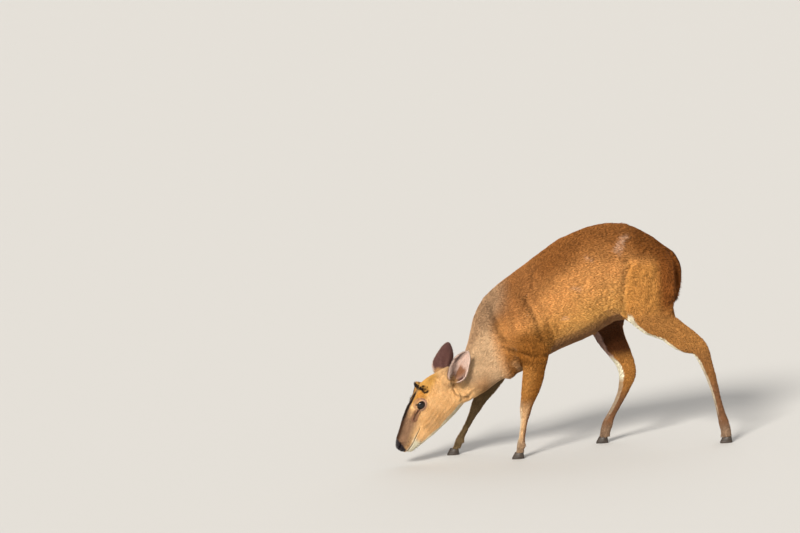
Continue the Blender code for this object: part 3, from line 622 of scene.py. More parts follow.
        # Painted shade: the inner sides of the hind legs get a near-black brown; their own hair is
        # paler.
        on.lay(self.inner, hind * inside * ease(190, 230, z) * 0.95)
        on.lay(self.inner_shank, hind * inside * ease(90, 150, z) * ease(230, 190, z) * 0.9)
        edge = front + 0.12 * inner + 0.22 * inner * (inner > 0) + 0.05 * on.waves(8, 4.0)
        least = np.interp(z, *zip(*WHITE_EDGE))
        stripe = ease(least - 0.06, least + 0.07, edge)
        narrow = ease(least + 0.12, least + 0.26, edge)
        high = ease(332, 320, z + 0.25 * (x - 172)) * ease(40, 120, z)
        near_leg, far_leg = hind & (y < 0), hind & (y > 0)
        on.lay(self.white, near_leg * stripe * high * (0.95 - 0.4 * ease(205, 175, z)))
        # Painted shade: a greyish brown on the upper front of the far hind leg, above its white
        # patch.
        on.lay(self.far_leg_shade, far_leg * narrow * ease(195, 215, z) * ease(332, 320, z))
        patch = ease(138, 160, z) * ease(216, 200, z)
        patch = np.maximum(patch, 0.3 * ease(40, 90, z) * (z < 190))
        on.lay(self.white, far_leg * narrow * patch)
        on.lay(self.white, (fore & (inner < 0.3)) * stripe * ease(150, 90, z) * 0.4)
        on.lay(self.pastern, (hind | fore) * ease(58, 30, z) * 0.8)
        # The forelegs' inner sides: their own grey-brown, darkened as painted shade.
        on.lay(self.shaded_inner_arm, fore * inside * 0.92)

    def hind_end(self, on: Paint) -> None:
        """Lay the dark rump and the chestnut tail with its white underside.

        Args:
            on: The colours so far, changed in place.
        """
        x, y, z = on.places.T
        tail = on.lie.on(Region.TAIL) * 1.0
        behind = on.normals[:, 0]
        on.lay(self.rump, ease(238, 268, x) * ease(300, 350, z) * (1 - tail))
        on.lay(self.croup, ease(186, 215, x) * ease(445, 485, z) * (1 - tail) * 0.75)
        on.lay(self.tail, tail)
        on.lay(self.white, tail * ease(0.05, -0.45, behind) * ease(440, 410, z))
        fringe = ease(0.72, 0.92, np.abs(on.normals[:, 1])) * ease(0.05, 0.5, on.waves(5, 6.0))
        on.lay(self.white, tail * fringe * 0.7)
        seat = on.lie.on(Region.HIND_LEFT, Region.HIND_RIGHT) * ease(0.55, 0.85, behind)
        seat = seat * (np.abs(y) < 40) * ease(420, 380, z) * ease(260, 300, z)
        on.lay(self.white, seat * 0.75)

    def face(self, on: Paint) -> None:
        """Lay the broad colours of the head.

        Args:
            on: The colours so far, changed in place.
        """
        u, v, w = on.head
        upward = HEAD.turned(on.normals)[:, 1]
        out = np.abs(w)
        on.lay(self.cheek, ease(-26, 10, u))
        streaks = 0.5 + 0.5 * wrinkles(u, v, w)
        on.lay(self.brow, ease(0, 30, u) * streaks * 0.42 * ease(160, 120, u))
        on.lay(self.forehead, ease(10, 24, v) * ease(-6, 16, u) * ease(112, 92, u))
        on.lay(self.nape, ease(16, -4, u) * ease(8, 20, v) * 0.6)
        brow = bell(np.hypot((u - 74) * 0.55, v - 31), 10.0) * ease(9, 16, out)
        on.lay(self.brow, brow * 0.9)
        under = upward + 0.05 * on.waves(9, 2.0)
        below = ease(-22, -32, v + 0.12 * (u - 140))
        on.lay(self.shade, below * bell(under + 0.4, 0.06) * ease(20, 60, u) * 0.2)
        on.lay(self.white, below * ease(-0.48, -0.6, under) * ease(10, 60, u) * 0.9)
        side = ease(-19, 4, v + 0.22 * (u - 150) + 2 * on.waves(9, 3.0)) * ease(104, 142, u)
        on.lay(self.muzzle, side * 0.95)
        on.lay(self.bridge, ease(15, 6, out) * ease(104, 132, u) * ease(0.1, 0.6, upward))
        on.lay(self.bridge, ease(182, 200, u) * ease(-16, -6, v) * 0.6)
        ear_root = bell(np.sqrt((u - 18) ** 2 + (v + 6) ** 2 + (out - 36) ** 2), 13.0)
        on.lay(self.shade, ear_root * 0.45)
        on.lay(self.shade, bell(line_gap(THROAT_CREASE, u, v), 2.6) * (out > 12) * 0.5)

    def brow_marks(self, on: Paint) -> None:
        """Lay the black stripes of the brow and the black hair of its knobs.

        Args:
            on: The colours so far, changed in place.
        """
        u, v, w = on.head
        out = np.abs(w)
        view = side_view(u, v, out)
        above = v > 14
        between = ease(15, 10, out) * ease(58, 66, u) * ease(132, 120, u)
        on.lay(self.muzzle, above * between * 0.6)
        near = line_gap(BROW_STRIPE, *view) + 0.5 * on.waves(5, 2.0)
        on.lay(self.black, above * ease(3.0, 1.4, near) * (out < 22) * (w > -6))
        # The far brow's own black stripe, widened out to the outline as painted shade of the far
        # brow's edge.
        far = line_gap(FAR_STRIPE, *side_view(u, v, w))
        on.lay(self.black, above * ease(5.6, 3.6, far) * ease(-36, -30, w) * (w < -3) * 0.85)
        ragged = on.waves(4, 1.0)
        blot = line_gap(KNOB_BLOT, *view) + 0.6 * ragged
        on.lay(self.black, above * (out > 3.5) * ease(6.8, 4.8, blot))
        wide = 2.6 + 0.4 * ragged
        curl = ease(wide + 0.9, wide - 0.9, line_gap(KNOB_CURL, *view))
        on.lay(self.black, above * curl * (out > 10) * 0.95)
        for ahead, up, size in KNOB_SPOTS:
            spot = np.hypot(view[0] - ahead, view[1] - up)
            on.lay(self.black, above * ease(size + 0.8, size - 0.8, spot) * (out > 12) * 0.75)

    def eye_and_mouth(self, on: Paint) -> None:
        """Lay the rings of the eyes, the scent glands, the lips and the nose.

        Args:
            on: The colours so far, changed in place.
        """
        u, v, w = on.head
        out = np.abs(w)
        eye = eye_gap(u, v, 1.25)
        beside = out > 16
        lower = ease(6, -6, (v - 19) + 0.6 * (u - 93))
        shown = 0.4 + 0.6 * (w > 0)
        on.lay(self.eye_ring, beside * ease(15.0, 11.5, eye) * (0.45 + 0.5 * lower) * shown)
        on.lay(self.gland, beside * bell(eye - 13.5, 2.2) * lower * 0.55)
        on.lay(self.black, beside * ease(9.4, 8.2, eye))
        wedge = line_gap(EYE_WEDGE, *side_view(u, v, out))
        on.lay(self.black, beside * ease(3.4, 1.4, wedge) * 0.85)
        on.lay(self.black, beside * ease(3.4, 1.6, line_gap(EYE_DUCT, u, v)) * 0.9)
        gland = line_gap(GLAND_LINE, u, v)
        on_cheek = (out > 12) & (u < 146)
        streaks = 0.55 + 0.45 * np.sin(1.9 * (v + 0.4 * u))
        on.lay(self.gland, on_cheek * ease(8.5, 4.5, gland) * (0.55 + 0.4 * streaks))
        on.lay(self.black, on_cheek * ease(2.6, 1.2, gland) * 0.65)
        gap = v - np.interp(u, MOUTH_U, MOUTH_V)
        above = ease(0.5, 2.0, gap)
        on.lay(self.white, ease(1.0, -2.0, gap) * ease(160, 176, u))
        on.lay(self.lip, ease(12, 5, gap) * above * ease(170, 190, u) * 0.8)
        lip = ease(6.5, 2.5, gap + on.waves(7, 3.0)) * above
        on.lay(self.white, lip * ease(142, 164, u) * ease(214, 198, u) * 0.45)
        # Painted shade: a black line along the groove between the lips.
        on.lay(self.black, bell(gap, 1.1) * ease(136, 141, u) * (out < 42) * 0.95)
        on.lay(self.nose, nose_pad(u, v))


def feed(tree: NodeTree, socket: NodeSocket, value: object) -> None:
    """Give an input its value, which is another node's socket, a number or a colour.

    Args:
        tree: The nodes of a material or a group.
        socket: The input.
        value: What it gets.
    """
    if isinstance(value, NodeSocket):
        tree.links.new(value, socket)
    else:
        socket.default_value = value


def add_node(tree: NodeTree, kind: str, **inputs: object) -> Node:
    """Add a shader node with values for its inputs, whose names have _ in place of spaces.

    Args:
        tree: The nodes of a material or a group.
        kind: The kind of node.
        inputs: Its inputs' values.

    Returns:
        The node.
    """
    node = tree.nodes.new(f"ShaderNode{kind}")
    for key, value in inputs.items():
        feed(tree, node.inputs[key.replace("_", " ")], value)
    return node


def math_node(tree: NodeTree, way: str, *operands: object) -> NodeSocket:
    """Add a Math node and return its result, each operand being a socket or a number.

    Args:
        tree: The nodes of a material or a group.
        way: The operation.
        operands: What it works on.

    Returns:
        The result's socket.
    """
    node = tree.nodes.new("ShaderNodeMath")
    node.operation = way
    for socket, value in zip(node.inputs, operands):
        feed(tree, socket, value)
    return node.outputs[0]


def read_attribute(tree: NodeTree, name: str, output: str = "Fac") -> NodeSocket:
    """Add a node that reads a piece's own attribute, and return its output.

    Args:
        tree: The nodes of a material or a group.
        name: The attribute.
        output: Which of the node's outputs.

    Returns:
        The output's socket.
    """
    node = tree.nodes.new("ShaderNodeAttribute")
    node.attribute_name = name
    return node.outputs[output]


def new_material(name: str, **inputs: object) -> tuple[Material, NodeTree]:
    """Return a new material and its nodes, with values for the inputs of its shader.

    Args:
        name: The material's name.
        inputs: The shader's inputs, with _ in place of spaces.

    Returns:
        The material and its nodes.
    """
    material = bpy.data.materials.new(name)
    material.use_nodes = True
    shader = material.node_tree.nodes["Principled BSDF"]
    for key, value in inputs.items():
        shader.inputs[key.replace("_", " ")].default_value = value
    return material, material.node_tree


def wire(tree: NodeTree, **inputs: NodeSocket) -> None:
    """Link sockets to the inputs of a material's shader."""
    for key, value in inputs.items():
        feed(tree, tree.nodes["Principled BSDF"].inputs[key.replace("_", " ")], value)


def colour_ramp(
    tree: NodeTree, reach: NodeSocket, stops: tuple[tuple[float, Rgb], ...],
) -> NodeSocket:
    """Add a ramp of colours and return its colour.

    Args:
        tree: The material's nodes.
        reach: What the ramp follows.
        stops: Each place on the ramp with its colour, in order.

    Returns:
        The socket of the colour.
    """
    node = add_node(tree, "ValToRGB", Fac=reach)
    bands = node.color_ramp.elements
    bands[0].position, bands[1].position = stops[0][0], stops[1][0]
    for place, _ in stops[2:]:
        bands.new(place)
    for band, (_, colour) in zip(bands, stops):
        band.color = (*colour, 1)
    return node.outputs["Color"]


@dataclass
class HairGrain:
    """A node group that gives the fine streaks and mottling of short hair."""

    name: str = "hair_grain"

    def build(self) -> NodeTree:
        """Make the group once, for every coat finish to share.

        Returns:
            The group.
        """
        found = bpy.data.node_groups.get(self.name)
        if found:
            return found
        group = bpy.data.node_groups.new(self.name, "ShaderNodeTree")
        sockets = group.interface
        for key, value in (("Streak Scale", 900.0), ("Upright", 0.0), ("Mottle Scale", 45.0)):
            socket = sockets.new_socket(key, in_out="INPUT", socket_type="NodeSocketFloat")
            socket.default_value = value
        for key in ("Streak", "Mottle"):
            sockets.new_socket(key, in_out="OUTPUT", socket_type="NodeSocketFloat")
        given = group.nodes.new("NodeGroupInput").outputs
        result = group.nodes.new("NodeGroupOutput").inputs
        place = add_node(group, "TexCoord").outputs["Object"]
        streaks = []
        for stretch in ((0.16, 1.0, 1.0), (1.0, 1.0, 0.16)):
            turned = add_node(group, "Mapping", Vector=place, Scale=stretch).outputs["Vector"]
            noise = add_node(
                group, "TexNoise", Vector=turned, Scale=given["Streak Scale"], Detail=3.0,
            )
            streaks.append(noise.outputs["Fac"])
        blend = add_node(group, "Mix", Factor=given["Upright"], A=streaks[0], B=streaks[1])
        mottle = add_node(group, "TexNoise", Vector=place, Scale=given["Mottle Scale"], Detail=4.0)
        feed(group, result["Streak"], blend.outputs[0])
        feed(group, result["Mottle"], mottle.outputs["Fac"])
        return group


@dataclass(frozen=True)
class CoatFinish:
    """Short hair or hairy skin that takes its colour from the piece's own markings.

    Attributes:
        bump: Strength of the fine relief, or 0 for none.
        contrast: How much the grain changes the colour.
        wet: Roughness where the skin is wet.
        depth: Depth of the fine relief, in metres.
        pebbles: Scale of the pebbled skin of the nose.
    """

    name: str
    roughness: float = 0.62
    sheen: float = 0.0
    bump: float = 0.25
    contrast: float = 0.3
    specular: float = 0.1
    wet: float = 0.2
    depth: float = 0.0006
    pebbles: float = 620.0

    def build(self) -> Material:
        """Make the material.

        Returns:
            The finish.
        """
        material, tree = new_material(
            self.name, Sheen_Weight=self.sheen, Sheen_Roughness=0.5,
            Specular_IOR_Level=self.specular,
        )
        colour = read_attribute(tree, "coat_colour", "Color")
        moist = read_attribute(tree, "moist")
        grain = tree.nodes.new("ShaderNodeGroup")
        grain.node_tree = HairGrain().build()
        feed(tree, grain.inputs["Upright"], read_attribute(tree, "upright"))
        streak, mottle = grain.outputs["Streak"], grain.outputs["Mottle"]
        fine = math_node(tree, "MULTIPLY_ADD", streak, self.contrast * 2, 1 - self.contrast)
        broad = math_node(tree, "MULTIPLY_ADD", mottle, self.contrast, 1 - self.contrast / 2)
        scale = tree.nodes.new("ShaderNodeVectorMath")
        scale.operation = "SCALE"
        feed(tree, scale.inputs[0], colour)
        feed(tree, scale.inputs["Scale"], math_node(tree, "MULTIPLY", fine, broad))
        dry = math_node(tree, "MULTIPLY_ADD", mottle, 0.12, self.roughness - 0.06)
        rough = math_node(tree, "MULTIPLY_ADD", moist, self.wet - self.roughness, dry)
        wire(tree, Base_Color=scale.outputs[0], Roughness=rough)
        if self.bump:
            place = add_node(tree, "TexCoord").outputs["Object"]
            pebble = add_node(tree, "TexVoronoi", Vector=place, Scale=self.pebbles)
            height = add_node(tree, "Mix", Factor=moist, A=streak, B=pebble.outputs["Distance"])
            bump = add_node(
                tree, "Bump", Strength=self.bump, Distance=self.depth, Height=height.outputs[0],
            )
            wire(tree, Normal=bump.outputs["Normal"])
        return material


def set_attribute(mesh: Mesh, name: str, values: Array) -> None:
    """Store a number or a colour for each of a mesh's points.

    Args:
        mesh: The mesh.
        name: The attribute's name.
        values: One row for each point.
    """
    kind, key = ("FLOAT_COLOR", "color") if values.ndim > 1 else ("FLOAT", "value")
    layer = mesh.attributes.new(name, kind, "POINT")
    layer.data.foreach_set(key, values.astype(np.float32).ravel())


def set_colours(mesh: Mesh, colours: Array, upright: Array) -> None:
    """Store the markings and the masks of upright hair and wet skin on a mesh's points.

    Args:
        mesh: The mesh.
        colours: Linear colours.
        upright: 1 where hair runs down a limb.
    """
    set_attribute(mesh, "moist", moisture(points_of(mesh)))
    set_attribute(mesh, "coat_colour", np.column_stack([colours, np.ones(len(colours))]))
    set_attribute(mesh, "upright", upright)


def read_points(data: bpy_prop_collection, key: str) -> Array:
    """Return three numbers for each of a mesh's points.

    Args:
        data: The points or their normals.
        key: What is read.

    Returns:
        One row for each point.
    """
    values = np.empty(len(data) * 3, np.float32)
    data.foreach_get(key, values)
    return values.reshape(-1, 3).astype(float)


def points_of(mesh: Mesh) -> Array:
    """Return a mesh's points in millimetres."""
    return read_points(mesh.vertices, "co") / MM


def normals_of(mesh: Mesh) -> Array:
    """Return the directions that a mesh's points face."""
    return read_points(mesh.vertex_normals, "vector")


def surface_of(mesh: Mesh) -> tuple[Array, Array]:
    """Return a mesh's points in millimetres and the directions that they face."""
    return points_of(mesh), normals_of(mesh)


def triangles_of(mesh: Mesh) -> tuple[Array, Array]:
    """Return the three points of each of a mesh's triangles, and the triangles' areas.

    Args:
        mesh: The mesh.

    Returns:
        The numbers of the points, and the areas in square millimetres.
    """
    mesh.calc_loop_triangles()
    corners = np.empty(len(mesh.loop_triangles) * 3, np.int32)
    mesh.loop_triangles.foreach_get("vertices", corners)
    corners = corners.reshape(-1, 3)
    first, second, third = points_of(mesh)[corners].transpose(1, 0, 2)
    return corners, np.linalg.norm(np.cross(second - first, third - first), axis=1) / 2


def move_points(mesh: Mesh, places: Array) -> None:
    """Put a mesh's points at places in millimetres."""
    mesh.vertices.foreach_set("co", (places * MM).astype(np.float32).ravel())
    mesh.update()


def apply_modifier(item: Object, kind: str, **settings: object) -> None:
    """Add a modifier to an object with these settings and apply it.

    Args:
        item: The object.
        kind: The modifier's type.
        settings: Its settings.
    """
    modifier = item.modifiers.new(kind.lower(), kind)
    for key, value in settings.items():
        setattr(modifier, key, value)
    graph = bpy.context.evaluated_depsgraph_get()
    mesh = bpy.data.meshes.new_from_object(item.evaluated_get(graph))
    item.modifiers.clear()
    old = item.data
    item.data = mesh
    bpy.data.meshes.remove(old)


def add_object(name: str, data: ID) -> Object:
    """Return a new object in the scene with this mesh, light or camera.

    Args:
        name: The object's name.
        data: Its data.

    Returns:
        The object.
    """
    item = bpy.data.objects.new(name, data)
    bpy.context.scene.collection.objects.link(item)
    return item


def object_from(name: str, shape: BMesh) -> Object:
    """Turn a finished bmesh, in metres, into an object in the scene.

    Args:
        name: The object's name.
        shape: The bmesh, which is freed.

    Returns:
        The object.
    """
    mesh = bpy.data.meshes.new(name)
    shape.to_mesh(mesh)
    shape.free()
    return add_object(name, mesh)


def welded(nodes: tuple[str, ...]) -> BMesh:
    """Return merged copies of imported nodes, each as a closed shell.

    Args:
        nodes: The nodes' names.

    Returns:
        The bmesh, in metres.
    """
    shape = bmesh.new()
    for node in nodes:
        shape.from_mesh(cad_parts[node].data)
    bmesh.ops.remove_doubles(shape, verts=shape.verts, dist=WELD)
    return shape


def keep_largest(shape: BMesh) -> None:
    """Delete every loose piece of a bmesh but the one with the most points.

    Args:
        shape: The bmesh, changed in place.
    """
    waiting = set(shape.verts)
    groups = []
    while waiting:
        start = waiting.pop()
        group, border = {start}, [start]
        while border:
            for link in border.pop().link_edges:
                found = set(link.verts) - group
                group |= found
                border += found
        waiting -= group
        groups.append(group)
    groups.sort(key=len)
    for group in groups[:-1]:
        bmesh.ops.delete(shape, geom=list(group), context="VERTS")


@dataclass
class Skin:
    """The one skin over all the flesh, with the folds, lips, nostrils and lids.

    Attributes:
        voxel: Grain of the surface when the pieces are fused.
        growth: How far the pieces grow first, and how much more on the trunk.
        fused_passes: How often the fused surface is smoothed.
        body_triangles: Triangles kept off the head.
        depth_share: Depth of the coat as a share of the hair's length.
        sole: Heights at which the coat begins and is full.
        coarse_voxel: Grain of the copy on which the trunk is smoothed.
        neighbours: How many of the copy's points move each point of the skin.
        trunk_passes: How often the trunk is smoothed.
        limb_passes: How often all of the body is smoothed after that.
        spot_passes: How often the small lumps of the limbs are smoothed.
        spots: Where they are: the end of the left shin and the right elbow.
        spot_reach: How wide they are.
        tint: How bright the skin is beside its coat.
    """

    voxel: float = 1.85
    growth: tuple[float, float] = (0.35, 1.1)
    fused_passes: int = 4
    body_triangles: int = 70000
    depth_share: float = 0.24
    sole: tuple[float, float] = (15.5, 24.0)
    coarse_voxel: float = 6.0
    neighbours: int = 6
    trunk_passes: int = 100
    limb_passes: int = 6
    spot_passes: int = 24
    spots: tuple[tuple[float, float, float], ...] = ((325.0, -58.0, 219.0), (-96.0, 60.0, 232.0))
    spot_reach: float = 24.0
    tint: float = 0.92
    finish: CoatFinish = field(default_factory=lambda: CoatFinish("hairy_skin", bump=0.5))
    item: Object = field(init=False)
    places: Array = field(init=False)
    normals: Array = field(init=False)
    lie: Lie = field(init=False)

    def build(self, markings: Markings) -> Object:
        """Fuse the flesh, thin it, sculpt it and lay its markings.

        Args:
            markings: The colours of the coat.

        Returns:
            The skin.
        """
        item = object_from("skin", welded(FLESH))
        corners = points_of(item.data)
        growth = self.growth[0] + self.growth[1] * self.trunk_share(corners)
        move_points(item.data, corners + normals_of(item.data) * growth[:, None])
        apply_modifier(item, "REMESH", mode="VOXEL", voxel_size=self.voxel * MM)
        apply_modifier(item, "SMOOTH", factor=0.5, iterations=self.fused_passes)
        shape = bmesh.new()
        shape.from_mesh(item.data)
        keep_largest(shape)
        shape.to_mesh(item.data)
        shape.free()
        self.thin(item)
        self.even_out(item)
        self.settle(item)
        self.refine_face(item)
        self.sculpt(item)
        mesh = item.data
        self.item = item
        self.places, self.normals = surface_of(mesh)
        self.lie = lie_at(self.places, self.normals)
        colours = markings.colour(self.places, self.normals, self.lie) * self.tint
        set_colours(mesh, colours, (self.lie.region > Region.TRUNK).astype(float))
        mesh.materials.append(self.finish.build())
        mesh.shade_smooth()
        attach(item, "root")
        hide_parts(*FLESH)
        return item

    @staticmethod
    def relaxed(mesh: Mesh, weight: Array, passes: int) -> Array:
        """Smooth a mesh's points where the weights say, and give back what that takes off.

        Args:
            mesh: The mesh.
            weight: How far each point moves towards its neighbours' mean in one pass.
            passes: How often the points move.

        Returns:
            The points in millimetres.
        """
        places = points_of(mesh)
        pairs = np.empty(len(mesh.edges) * 2, np.int32)
        mesh.edges.foreach_get("vertices", pairs)
        first, second = pairs.reshape(-1, 2).T
        ends, others = np.concatenate([first, second]), np.concatenate([second, first])
        links = np.bincount(ends, minlength=len(places))[:, None]
        share = weight[:, None]

        def smoothed(values: Array) -> Array:
            """Return values drawn towards their neighbours' mean, pass after pass.

            Args:
                values: One row for each point.

            Returns:
                The values after all passes.
            """
            for _ in range(passes):
                sums = [np.bincount(ends, values[others, axis], len(places)) for axis in range(3)]
                values = values + (np.stack(sums, axis=1) / links - values) * share
            return values

        soft = smoothed(places)
        return soft + smoothed(places - soft)

    def even_out(self, item: Object) -> None:
        """Round off the broad flats of the trunk on a coarse even copy, then the limbs a little.

        Args:
            item: The skin, changed in place.
        """
        coarse = add_object("coarse_copy", item.data.copy())
        apply_modifier(coarse, "REMESH", mode="VOXEL", voxel_size=self.coarse_voxel * MM)
        before = points_of(coarse.data)
        weight = 0.6 * self.trunk_share(before)
        shift = self.relaxed(coarse.data, weight, self.trunk_passes) - before
        tree = KDTree(len(before))
        for number, place in enumerate(before):
            tree.insert(place, number)
        tree.balance()
        places = points_of(item.data)
        for number in np.nonzero(self.trunk_share(places) > 0)[0]:
            found = tree.find_n(places[number], self.neighbours)
            pull = np.array([1 / (gap + 1.0) ** 2 for _, _, gap in found])
            rows = [row for _, row, _ in found]
            places[number] += pull @ shift[rows] / pull.sum()
        bpy.data.meshes.remove(coarse.data)
        move_points(item.data, places)
        back = ease(5, -45, HEAD.inside(places)[:, 0])
        move_points(item.data, self.relaxed(item.data, 0.5 * back, self.limb_passes))
        places = points_of(item.data)
        gaps = [np.linalg.norm(places - np.array(spot), axis=1) for spot in self.spots]
        near = bell(np.min(gaps, axis=0), self.spot_reach)
        move_points(item.data, self.relaxed(item.data, 0.6 * near, self.spot_passes))

    @staticmethod
    def trunk_share(places: Array) -> Array:
        """Return 1 on the trunk and neck, 0 on the head, limbs and tail, with a smooth change."""
        back = ease(5, -45, HEAD.inside(places)[:, 0])
        return back * ease(225, 300, places[:, 2]) * ease(290, 272, places[:, 0])

    def thin(self, item: Object) -> None:
        """Thin the body's triangles and keep all of the head's.

        Args:
            item: The skin, changed in place.
        """
        group = item.vertex_groups.new(name="thinned")
        u, v, w = HEAD.inside(points_of(item.data)).T
        head = (u > -5) & (np.abs(w) < 62) & (np.abs(v) < 90)
        group.add(np.nonzero(~head)[0].tolist(), 1.0, "REPLACE")
        group.add(np.nonzero(head)[0].tolist(), 0.0, "REPLACE")
        sizes = np.array([len(face.vertices) - 2 for face in item.data.polygons])
        in_head = sizes[[head[face.vertices[0]] for face in item.data.polygons]].sum()
        apply_modifier(
            item, "DECIMATE", ratio=(self.body_triangles + in_head) / sizes.sum(),
            vertex_group="thinned", vertex_group_factor=1.0, use_collapse_triangulate=True,
        )
        item.vertex_groups.clear()

    @staticmethod
    def eye_distance(places: Array, stretch: float) -> Array:
        """Return how far points are from the middle of the nearer eye."""
        u, v, w = HEAD.inside(places).T
        return np.sqrt(((u - 92) / stretch) ** 2 + (v - 19) ** 2 + (np.abs(w) - 31) ** 2)

    def settle(self, item: Object) -> None:
        """Draw the skin in by the depth of the coat, and not at all at the eyes and feet.

        Args:
            item: The skin, changed in place.
        """
        mesh = item.data
        places, normals = surface_of(mesh)
        depth = self.depth_share * lie_at(places, normals).length
        depth *= ease(9, 20, self.eye_distance(places, 1.3))
        depth *= ease(*self.sole, places[:, 2])
        move_points(mesh, places - normals * depth[:, None])

    def refine_face(self, item: Object) -> None:
        """Split the faces round the eyes, nostrils and mouth, so that they can be sculpted.

        Args:
            item: The skin, changed in place.
        """
        shape = bmesh.new()
        shape.from_mesh(item.data)
        for reach in (1.0, 0.6):
            places = np.array([vert.co for vert in shape.verts]) / MM
            u, v, w = HEAD.inside(places).T
            lips = np.abs(v - np.interp(u, MOUTH_U, MOUTH_V)) < 6 * reach
            near = lips & (u > 134) & (np.abs(w) < 40)
            near |= self.eye_distance(places, 1.35) < 19 * reach
            near |= (np.abs(u - 202) < 10 * reach) & (np.abs(v + 4) < 9 * reach)
            edges = [edge for edge in shape.edges if all(near[vert.index] for vert in edge.verts)]
            bmesh.ops.subdivide_edges(shape, edges=edges, cuts=1, use_grid_fill=True)
            faces = [face for face in shape.faces if len(face.verts) > 3]
            bmesh.ops.triangulate(shape, faces=faces)
            shape.verts.index_update()
        shape.to_mesh(item.data)
        shape.free()

    def sculpt(self, item: Object) -> None:
        """Press in the mouth and folds, raise the lips and lids, and set the right eye in.

        Args:
            item: The skin, changed in place.
        """
        mesh = item.data
        places, normals = surface_of(mesh)
        lift = self.face_relief(places) + self.body_relief(places, normals)
        eye = np.array(HEAD.point(HEAD.eye[0], HEAD.eye[1], -HEAD.eye[2]))
        drawn = ease(32, 15, np.linalg.norm(places - eye, axis=1))
        shift = np.array(HEAD.way(*RIGHT_EYE_SHIFT))
        move_points(mesh, places + normals * lift[:, None] + drawn[:, None] * shift)

    @staticmethod
    def face_relief(places: Array) -> Array:
        """Return how far the face's forms rise above the smooth head.

        Args:
            places: Points in millimetres.

        Returns:
            Heights in millimetres.
        """
        u, v, w = HEAD.inside(places).T
        out = np.abs(w)
        outer = out > 12
        gap = v - np.interp(u, MOUTH_U, MOUTH_V)
        lips = -2.6 * bell(gap, 1.0) + 1.0 * bell(gap - 2.8, 1.8) + 0.8 * bell(gap + 2.8, 1.9)
        lift = ease(134, 146, u) * (out < 40) * lips
        hole = line_gap(NOSTRIL, u, v)
        nostril = -4.8 * bell(hole, 1.8) + 1.0 * bell(hole - 3.8, 1.4)
        lift += ease(4.0, 7.5, out) * (out < 22) * nostril
        eye = eye_gap(u, v, 1.28)
        upper = ease(-3, 3, v - 19.5)
        lids = 0.5 * bell(eye - 9.8, 1.2) - 1.0 * upper * bell(eye - 12.6, 1.2)
        lids += (1 - upper) * (0.7 * bell(eye - 15.2, 1.6) - 0.8 * bell(eye - 12.4, 1.2))
        lids += 0.4 * upper * bell(eye - 15.5, 2.0)
        lift += (out > 18) * (np.abs(u - 93) < 30) * lids
        gland = line_gap(GLAND_LINE, u, v)
        slit = -2.4 * bell(gland, 1.6) + 1.1 * bell(gland - 3.8, 1.5) - 0.7 * bell(gland - 6.6, 1.1)
        slit += 0.35 * np.sin(1.9 * (v + 0.4 * u)) * ease(11, 6, gland)
        lift += outer * (u < 144) * slit
        jaw = line_gap(THROAT_CREASE, u, v)
        lift += outer * (-1.6 * bell(jaw, 3.4) + 0.9 * bell(jaw - 7, 4.0))
        cheek = line_gap(CHEEK_GROOVE, u, v)
        lift += outer * (-0.5 * bell(cheek, 2.6) + 0.3 * bell(cheek - 5, 3.0))
        lift -= 1.2 * bell(np.hypot((u - 91) / 1.5, w + 32), 13.0) * ease(24, 30, v)
        fine = ease(0, 30, u) * ease(170, 130, u) * ease(12, 20, eye)
        return lift + 0.28 * wrinkles(u, v, w) * fine

    @staticmethod
    def body_relief(places: Array, normals: Array) -> Array:
        """Return how far the folds, ribs and muscles rise above the smooth flesh.

        Args:
            places: Points in millimetres.
            normals: Outward directions.

        Returns:
            Heights in millimetres.
        """
        x, y, z = places.T
        lift = sum(height * reach for height, reach in fold_reaches(places, normals))
        on_side = ease(0.2, 0.6, np.abs(normals[:, 1]))
        for rib in range(7):
            start = np.array((-10.0 + 21 * rib, 430.0 + 9 * rib))
            line = np.array((start, start + (22, -70), start + (26, -130)))
            gap, along = polyline_distance(np.column_stack([x, z]), line)
            lift += 0.5 * bell(gap, 6.0) * ease(0.0, 0.5, along) * on_side
        return lift + 0.5 * ripple(places, 26, 2.0) * (z > 120)


@dataclass
class TuftCut:
    """The shape of one kind of tuft, as shares of the hair's length, and how thick they stand.

    Attributes:
        width: Width at the root.
        lift: Height of the tip above the skin, as a share of the coat's depth.
        count: How many tufts the region gets.
        jitter: How far a tuft may turn from the lie, in degrees.
    """

    width: float
    lift: float
    count: int
    jitter: float = 6.0


@dataclass
class TuftBatch:
    """The places and looks of many tufts, one row for each."""

    roots: Array
    normals: Array
    ways: Array
    length: Array
    width: Array
    rise: Array
    colours: Array
    unwrap: Array


PATCH = 0.003
PATCH_SPOTS = np.array((
    (0, 0), (1, 0), (0.5, 0.1), (0.12, 0.5), (0.88, 0.5), (0.5, 0.58), (0.5, 1.0),
))
BLADE = np.array((
    (0, 2, 1), (0, 3, 5), (0, 5, 2), (2, 5, 4), (2, 4, 1), (1, 4, 3), (1, 3, 0),
    (3, 6, 5), (5, 6, 4), (4, 6, 3),
))
SHADES = np.array((0.9, 0.9, 0.92, 0.99, 0.99, 1.01, 1.05))
MARGIN = 0.006


